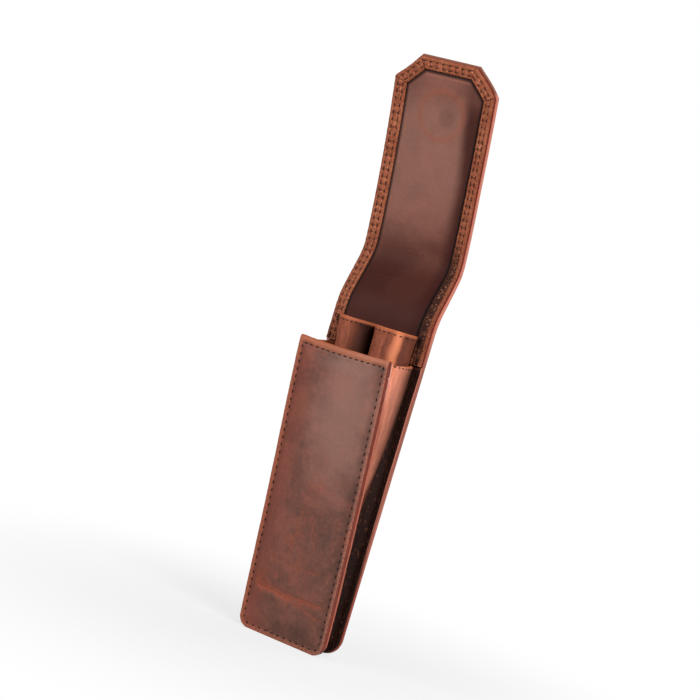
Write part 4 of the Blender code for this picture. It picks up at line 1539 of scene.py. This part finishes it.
def sleeve_line(height, share):
    """A point of the sleeve's middle for x >= 0: from the seam between the tunnels to its outer foot."""
    open_share = float(smooth_step(height, *TUNNEL_WIDENS))
    stack = LINING_LEVELS[1]
    room = FRONT_FOOT + height * math.tan(FRONT_TILT) - stack * (1 + 1 / math.cos(FRONT_TILT))
    rise = min(TUNNEL_RISE, room - SLEEVE_CLEARANCE) - SLEEVE_LEATHER
    foot = TUNNEL_FOOT - TUNNEL_TAPER * (1 - open_share)
    middle = (SLEEVE_SEAM + foot) / 2
    reach = foot - middle
    base = stack + SLEEVE_LEATHER / 2
    if share < SEAM_SHARE:
        return Vector((SLEEVE_SEAM * share / SEAM_SHARE, BACK_FACE - base, height))
    angle = math.pi * (1 - (share - SEAM_SHARE) / (1 - SEAM_SHARE))
    across = math.copysign(abs(math.cos(angle)) ** SQUARE_ACROSS, math.cos(angle))
    side = max(math.cos(angle), 0.0) ** 2 * math.sin(angle) * 2.6
    lean = TUNNEL_LEAN * open_share * side
    lift = rise * max(math.sin(angle), 0.0) ** SQUARE_UP
    return Vector((middle + reach * across + lean, BACK_FACE - base - lift, height))


class PENCASE_OT_pen_sleeve(bpy.types.Operator):
    """Pen sleeve: one soft sheet sewn down at its middle and both sides, which makes two tunnels."""

    bl_idname = "pen_case.pen_sleeve"
    bl_label = "Pen sleeve"

    LINES = 27
    LINE_STEP = 1.4 * MM

    def execute(self, context):
        tint = colours()
        hide = leather(
            "Sleeve leather",
            tint.sleeve,
            tint.sleeve_cloud,
            tint.border,
            paint_sleeve,
            cloud=0.09,
            grain=1.8,
            grain_depth=0.05 * MM,
            gloss=0.45,
            shine=0.1,
        )
        heights = stretches(
            SLEEVE_BOTTOM, (SLEEVE_TOP - HEM_ZONE, 3.5 * MM), (SLEEVE_TOP, HEM_STEP)
        )
        piece = soft_sheet(
            "sleeve_leather",
            self.LINES,
            len(heights),
            self.LINE_STEP,
            lambda line, row: sleeve_line(float(heights[row]), line / (self.LINES - 1)),
            slack,
        )
        soft_leather(
            piece,
            hide,
            SLEEVE_LEATHER / SLEEVE_SINGLE_SHARE,
            lambda _, height: 1.0 if height > SLEEVE_TOP - SOFT_HEM else SLEEVE_SINGLE_SHARE,
        )
        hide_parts("pen_sleeve")
        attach(piece, "pocket")
        return {"FINISHED"}


def walk(path, pitch, start=0.0):
    """Places at equal steps along a path of flat points, each with its direction."""
    spots = []
    next_at = start + pitch / 2
    travelled = 0.0
    for first, second in zip(path, path[1:]):
        length = (second - first).length
        while next_at <= travelled + length - 1e-9:
            direction = (second - first).normalized()
            spots.append((first + direction * (next_at - travelled), direction))
            next_at += pitch
        travelled += length
    return spots


# A stitch: its length as a share of the step, its height and the dip of its ends as shares of the
# thread's thickness, and the power that blunts its ends
STITCH_LENGTH = 0.74
STITCH_HEIGHT = 0.85
STITCH_DIP = 0.55
STITCH_BLUNT = 0.75


def row_of_stitches(name, spots, pitch, material, placed=None):
    """Blunt stitches, with their ends down in the leather, at (centre, direction, outward) spots."""
    select_only()
    thread = sizes().thread
    bpy.ops.mesh.primitive_uv_sphere_add(segments=8, ring_count=6, radius=0.5)
    stitch = added(name)
    points = points_of(stitch)
    turned = np.column_stack([points[:, 0], points[:, 2], -points[:, 1]])
    turned[:, 1] = np.sign(turned[:, 1]) * np.abs(turned[:, 1] * 2) ** STITCH_BLUNT / 2
    ends = np.abs(turned[:, 1] * 2) ** 2
    shaped = turned * (thread, pitch * STITCH_LENGTH, thread * STITCH_HEIGHT)
    shaped[:, 2] -= ends * thread * STITCH_DIP
    put_points(stitch, shaped)
    dress(stitch, material)
    copies = []
    for centre, along, out in spots:
        copy = stitch.copy()
        copy.data = stitch.data.copy()
        bpy.context.collection.objects.link(copy)
        side = along.cross(out).normalized()
        frame_of_stitch = Matrix((side, along.normalized(), out.normalized())).transposed().to_4x4()
        copy.data.transform(Matrix.Translation(centre) @ frame_of_stitch)
        copies.append(copy)
    bpy.data.objects.remove(stitch)
    select_only(*copies)
    bpy.ops.object.join()
    piece = added(name)
    points = points_of(piece)
    store(piece, "flat", points)
    if placed is not None:
        put_points(piece, placed(points))
    smooth(piece, SOFT_ANGLE)
    return piece


def raised(spots, level, out=1):
    """Flat spots at a level, facing the front (1) or the back (-1)."""
    return [
        (Vector((*point, level)), Vector((*along, 0)), Vector((0, 0, out))) for point, along in spots
    ]


class PENCASE_OT_stitching(bpy.types.Operator):
    """All the seams, each row of stitches as one piece."""

    bl_idname = "pen_case.stitching"
    bl_label = "Stitching"

    # Level of stitches behind the back, on the front, and below the border's face
    BEHIND = 0.08 * MM
    ON_FRONT = -0.12 * MM
    BELOW_BORDER = 0.22 * MM
    # Length of a stitch along the front's rim and hem, as a share of an ordinary one
    RIM_STITCH = 0.7
    HEM_STITCH = 0.85
    # Distances of stitches from a mitre and a soft hem's edge
    FROM_MITRE = 0.9 * MM
    MOUTH_SEAM = 1.85 * MM
    # Tacks where the hems end on the border: place across, lower end and upper end; the stitches in
    # each, how far they slant, their step and their lift
    TACKS = ((21.4 * MM, 126.6 * MM, 128.4 * MM), (20.2 * MM, 134.4 * MM, 136.6 * MM))
    TACK_STITCHES = 4
    TACK_SLANT = 0.35
    TACK_PITCH = 2.6 * MM
    TACK_LIFT = 0.05 * MM

    def execute(self, context):
        thread = waxed_thread("Waxed thread", colours().thread)
        self.front_seams(thread)
        self.border_seams(waxed_thread("Border's thread", colours().border_thread))
        self.back_seam(thread)
        self.mouth_seams(thread)
        return {"FINISHED"}

    def round_path(self, half, corner, foot, seam, top):
        """A path round the sides and the foot of a panel, at a distance inside its outline."""
        radius = corner - seam
        centre = Vector((half - corner, foot + corner))
        turns = [math.radians(-90 + 10 * i) for i in range(10)]
        arc = [centre + Vector((math.cos(turn), math.sin(turn))) * radius for turn in turns]
        right = arc + [Vector((half - seam, top))]
        return [Vector((-p.x, p.y)) for p in reversed(right)] + right

    def front_seams(self, thread):
        """The row round the sides and foot of the front, and the row along its hem."""
        seam = sizes().front_seam
        height = FRONT_LENGTH - sizes().hem_seam
        path = self.round_path(HALF_FRONT, FRONT_CORNER, 0.0, seam, height)
        spots = raised(walk(path, SEAM_PITCH), self.ON_FRONT)
        pitch = SEAM_PITCH * self.RIM_STITCH
        piece = row_of_stitches("front_stitches", spots, pitch, thread, leant)
        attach(piece, "pocket")
        top = [Vector((side * (HALF_FRONT - seam), height)) for side in (-1, 1)]
        spots = raised(walk(top, HEM_PITCH), self.ON_FRONT)
        pitch = HEM_PITCH * self.HEM_STITCH
        piece = row_of_stitches("hem_stitches", spots, pitch, thread, leant)
        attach(piece, "pocket")

    def border_seams(self, thread):
        """Both rows through the border, seen on the border and on the outer leather."""
        pitch = sizes().stitch_pitch
        on_border = BORDER_LEVELS[1] - self.BELOW_BORDER
        spots = {ride_lower: [], ride_upper: [], ride_flap: []}
        for _, _, ride, start, along, inward, length, mitres in border_frames():
            for row in stitch_rows():
                share = row / sizes().border_width
                low = mitres[0] * share
                high = length + mitres[1] * share
                path = [start + inward * row + along * low, start + inward * row + along * high]
                shift = math.ceil(low / pitch) * pitch - low if low > 0 else 0.0
                places = walk(path, pitch, shift - pitch / 2 + 0.0001 * MM)
                keep = [
                    (place, direction)
                    for place, direction in places
                    if min((place - end).length for end in path) > self.FROM_MITRE
                ]
                spots[ride] += raised(keep, on_border) + raised(keep, self.BEHIND, -1)
        bent = SideProfile().bent
        for ride, name in ((ride_lower, "back"), (ride_upper, "flap"), (ride_flap, "tip")):
            ride(row_of_stitches(f"border_stitches_{name}", spots[ride], pitch, thread, bent))

    def back_seam(self, thread):
        """The row that joins the back to the gusset, seen from behind."""
        path = self.round_path(HALF_BACK, BACK_CORNER, BACK_FOOT, BACK_SEAM, BORDER_FOOT - MM)
        spots = walk(path, SEAM_PITCH)
        flange = FLANGE_LEVEL + GUSSET_LEATHER / 2
        both = raised(spots, self.BEHIND, -1) + raised(spots, flange)
        piece = row_of_stitches("back_stitches", both, SEAM_PITCH, thread, SideProfile().bent)
        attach(piece, "pocket")

    def mouth_seams(self, thread):
        """Short rows along the hems of the gusset and the sleeve, with tacks at their ends."""
        height = GUSSET_TOP - self.MOUTH_SEAM
        section = [gusset_point("side", height, line) for line in range(4, 10)]
        spots = self.on_sheet(section, GUSSET_LEATHER * 0.66, gathered)
        shares = [0.12 + 0.84 * i / 40 for i in range(41)]
        section = [sleeve_line(SLEEVE_TOP - self.MOUTH_SEAM, share) for share in shares]
        spots += self.on_sheet(section, SLEEVE_LEATHER * 0.68, slack)
        piece = row_of_stitches("mouth_stitches", spots, MOUTH_PITCH, thread)
        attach(piece, "pocket")
        tacks = []
        for side in (-1, 1):
            for across, low, high in self.TACKS:
                for i in range(self.TACK_STITCHES):
                    height = low + (high - low) * i / (self.TACK_STITCHES - 1)
                    centre = Vector((side * across, height, BORDER_LEVELS[1] + self.TACK_LIFT))
                    slant = Vector((1, self.TACK_SLANT * (-1) ** i, 0))
                    tacks.append((centre, slant, Vector((0, 0, 1))))
        bent = SideProfile().bent
        piece = row_of_stitches("tack_stitches", tacks, self.TACK_PITCH, thread, bent)
        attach(piece, "pocket")

    def on_sheet(self, section, lift, moved):
        """Spots along a section of a sheet that stands upright, on its outer side, and mirrored."""
        spots = []
        for centre, along in walk(section, MOUTH_PITCH):
            out = along.cross(Vector((0, 0, 1))).normalized()
            for side in (1, -1):
                flip = Vector((side, 1, 1))
                spots.append((moved(centre * flip) + out * flip * lift, along * flip, out * flip))
        return spots


class PENCASE_OT_hidden_parts(bpy.types.Operator):
    """What lies inside: the front's board, lining and plate, and the flap's magnet."""

    bl_idname = "pen_case.hidden_parts"
    bl_label = "Hidden parts"

    def execute(self, context):
        tint = colours()
        plate = nickel_plate("Nickel plate", tint.plate)
        board = grey_board("Front's board", tint.board)
        nodes = frame["nodes"]
        dress(nodes["front_board"], board)
        dress(nodes["front_magnet"], plate)
        dress(nodes["front_lining"], self.inside_leather())
        self.magnet(plate)
        return {"FINISHED"}

    def inside_leather(self):
        """Plain leather on the inner face of the front."""
        tint = colours()
        finish = Finish("Inside leather")
        place = finish.solid_place()
        patches = finish.clouds(place, 0.06, 4.0)
        tone = finish.mixed(patches.rising(0.35, 0.65), tint.lining_dark, tint.lining)
        return finish.surface(tone, patches * 0.1 + 0.45, finish.clouds(place, 2.4, 3.0), 0.04 * MM)

    def magnet(self, plate):
        """The disc in the flap, bent to lie between its leathers."""
        profile = SideProfile()
        select_only()
        low, high = BOARD_LEVELS
        bpy.ops.mesh.primitive_cylinder_add(vertices=64, radius=MAGNET_RADIUS, depth=high - low)
        piece = added("flap_disc")
        points = points_of(piece)
        points += (0, profile.upper + MAGNET_FROM_FOLD, (low + high) / 2 + MAGNET_LIFT)
        put_points(piece, profile.bent(points))
        rims = piece.modifiers.new("Rims", "BEVEL")
        rims.width = 0.15 * MM
        rims.segments = 2
        rims.limit_method = "ANGLE"
        apply_modifiers(piece)
        dress(piece, plate)
        smooth(piece)
        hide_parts("flap_magnet")
        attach(piece, "flap")


# Camera of the photograph, in the frame of the case
CAMERA_PLACE = Vector((401.0, -668.3, 145.6)) * MM + Vector((0, BACK_FACE, 0))
CAMERA_VIEW = Vector((-0.5268, 0.8495, -0.0278))
CAMERA_UP = Vector((-0.2582, -0.1287, 0.9575))
CAMERA_LENS = 96.09


class PENCASE_OT_stage(bpy.types.Operator):
    """Pale floor, soft lamps and the camera."""

    bl_idname = "pen_case.stage"
    bl_label = "Stage"

    def execute(self, context):
        self.floor()
        self.world(context.scene)
        self.lamp("Key", (0.85, -0.50, 0.70), 0.50, 15.0)
        self.lamp("Fill", (-0.60, -0.95, 0.45), 0.70, 9.0)
        self.lamp("Top", (0.10, 0.25, 1.00), 0.50, 3.0)
        self.camera(context.scene)
        context.scene.view_settings.view_transform = "Standard"
        return {"FINISHED"}

    def floor(self):
        """A pale floor that looks white to the camera and lights the case like a real one."""
        select_only()
        bpy.ops.mesh.primitive_circle_add(vertices=96, radius=3.0, fill_type="NGON")
        floor = added("floor")
        finish = Finish("Pale floor")
        place = finish.add("ShaderNodeTexCoord", {}, {}, "Object")
        across, along, _ = finish.parts(place)
        distance = finish.distance(across, along)
        rays = finish.add("ShaderNodeLightPath", {}, {}).socket.node.outputs
        seen = Value(finish, rays["Is Camera Ray"])
        mirrored = Value(finish, rays["Is Glossy Ray"])
        glow = seen * (distance.rising(0.04, 0.22) * 0.25 + 0.75) + mirrored * 0.1
        white = finish.add("ShaderNodeEmission", {}, {"Color": (1, 1, 1, 1), "Strength": 1.0})
        finish.surface((0.55, 0.55, 0.55), 0.8)
        lit = Value(finish, finish.shader.outputs[0])
        both = finish.add("ShaderNodeMixShader", {}, {0: glow.clamped(), 1: lit, 2: white})
        finish.feed(finish.tree.nodes["Material Output"].inputs[0], both)
        dress(floor, finish.material)

    def world(self, scene):
        """White behind the case, and a faint even light on it."""
        scene.world = bpy.data.worlds.new("Studio")
        scene.world.use_nodes = True
        tree = scene.world.node_tree
        light = tree.nodes["Background"]
        light.inputs["Color"].default_value = (1, 1, 1, 1)
        light.inputs["Strength"].default_value = 0.10
        seen = tree.nodes.new("ShaderNodeBackground")
        seen.inputs["Color"].default_value = (1, 1, 1, 1)
        seen.inputs["Strength"].default_value = 1.0
        rays = tree.nodes.new("ShaderNodeLightPath")
        mix = tree.nodes.new("ShaderNodeMixShader")
        tree.links.new(rays.outputs["Is Camera Ray"], mix.inputs[0])
        tree.links.new(light.outputs[0], mix.inputs[1])
        tree.links.new(seen.outputs[0], mix.inputs[2])
        tree.links.new(mix.outputs[0], tree.nodes["World Output"].inputs[0])

    def lamp(self, name, place, size, watts):
        """A square soft lamp that faces the middle of the case."""
        select_only()
        aim = Vector((0, 0, 0.12))
        place = Vector(place)
        turn = (aim - place).to_track_quat("-Z", "Y").to_euler()
        bpy.ops.object.light_add(type="AREA", location=place, rotation=turn)
        lamp = added(name)
        lamp.data.size = size
        lamp.data.energy = watts

    def camera(self, scene):
        """The camera that the photograph was taken with."""
        view = CAMERA_VIEW.normalized()
        right = view.cross(CAMERA_UP).normalized()
        up = right.cross(view)
        turn = Matrix((right, up, -view)).transposed().to_euler()
        select_only()
        bpy.ops.object.camera_add(location=CAMERA_PLACE, rotation=turn)
        camera = added("Camera")
        camera.data.lens = CAMERA_LENS
        camera.data.sensor_width = 36.0
        scene.camera = camera


STEPS = (
    PENCASE_OT_outer_leather,
    PENCASE_OT_lining,
    PENCASE_OT_border,
    PENCASE_OT_front,
    PENCASE_OT_gusset,
    PENCASE_OT_pen_sleeve,
    PENCASE_OT_stitching,
    PENCASE_OT_hidden_parts,
    PENCASE_OT_stage,
)


class PENCASE_PT_panel(bpy.types.Panel):
    """The steps of the case, in order, and its sizes and colours."""

    bl_idname = "PENCASE_PT_panel"
    bl_label = "Leather pen case"
    bl_space_type = "VIEW_3D"
    bl_region_type = "UI"
    bl_category = "Pen case"

    def draw(self, context):
        for group in (context.scene.pen_case_sizes, context.scene.pen_case_colours):
            for name in group.__annotations__:
                self.layout.prop(group, name)
        for step in STEPS:
            self.layout.operator(step.bl_idname)


CLASSES = (PenCaseSizes, PenCaseColours, *STEPS, PENCASE_PT_panel)


def register():
    for item in CLASSES:
        bpy.utils.register_class(item)
    bpy.types.Scene.pen_case_sizes = PointerProperty(type=PenCaseSizes)
    bpy.types.Scene.pen_case_colours = PointerProperty(type=PenCaseColours)


def unregister():
    del bpy.types.Scene.pen_case_sizes
    del bpy.types.Scene.pen_case_colours
    for item in reversed(CLASSES):
        bpy.utils.unregister_class(item)


def main():
    register()
    bpy.ops.pen_case.outer_leather()
    bpy.ops.pen_case.lining()
    bpy.ops.pen_case.border()
    bpy.ops.pen_case.front()
    bpy.ops.pen_case.gusset()
    bpy.ops.pen_case.pen_sleeve()
    bpy.ops.pen_case.stitching()
    bpy.ops.pen_case.hidden_parts()
    bpy.ops.pen_case.stage()


if __name__ == "__main__":
    main()
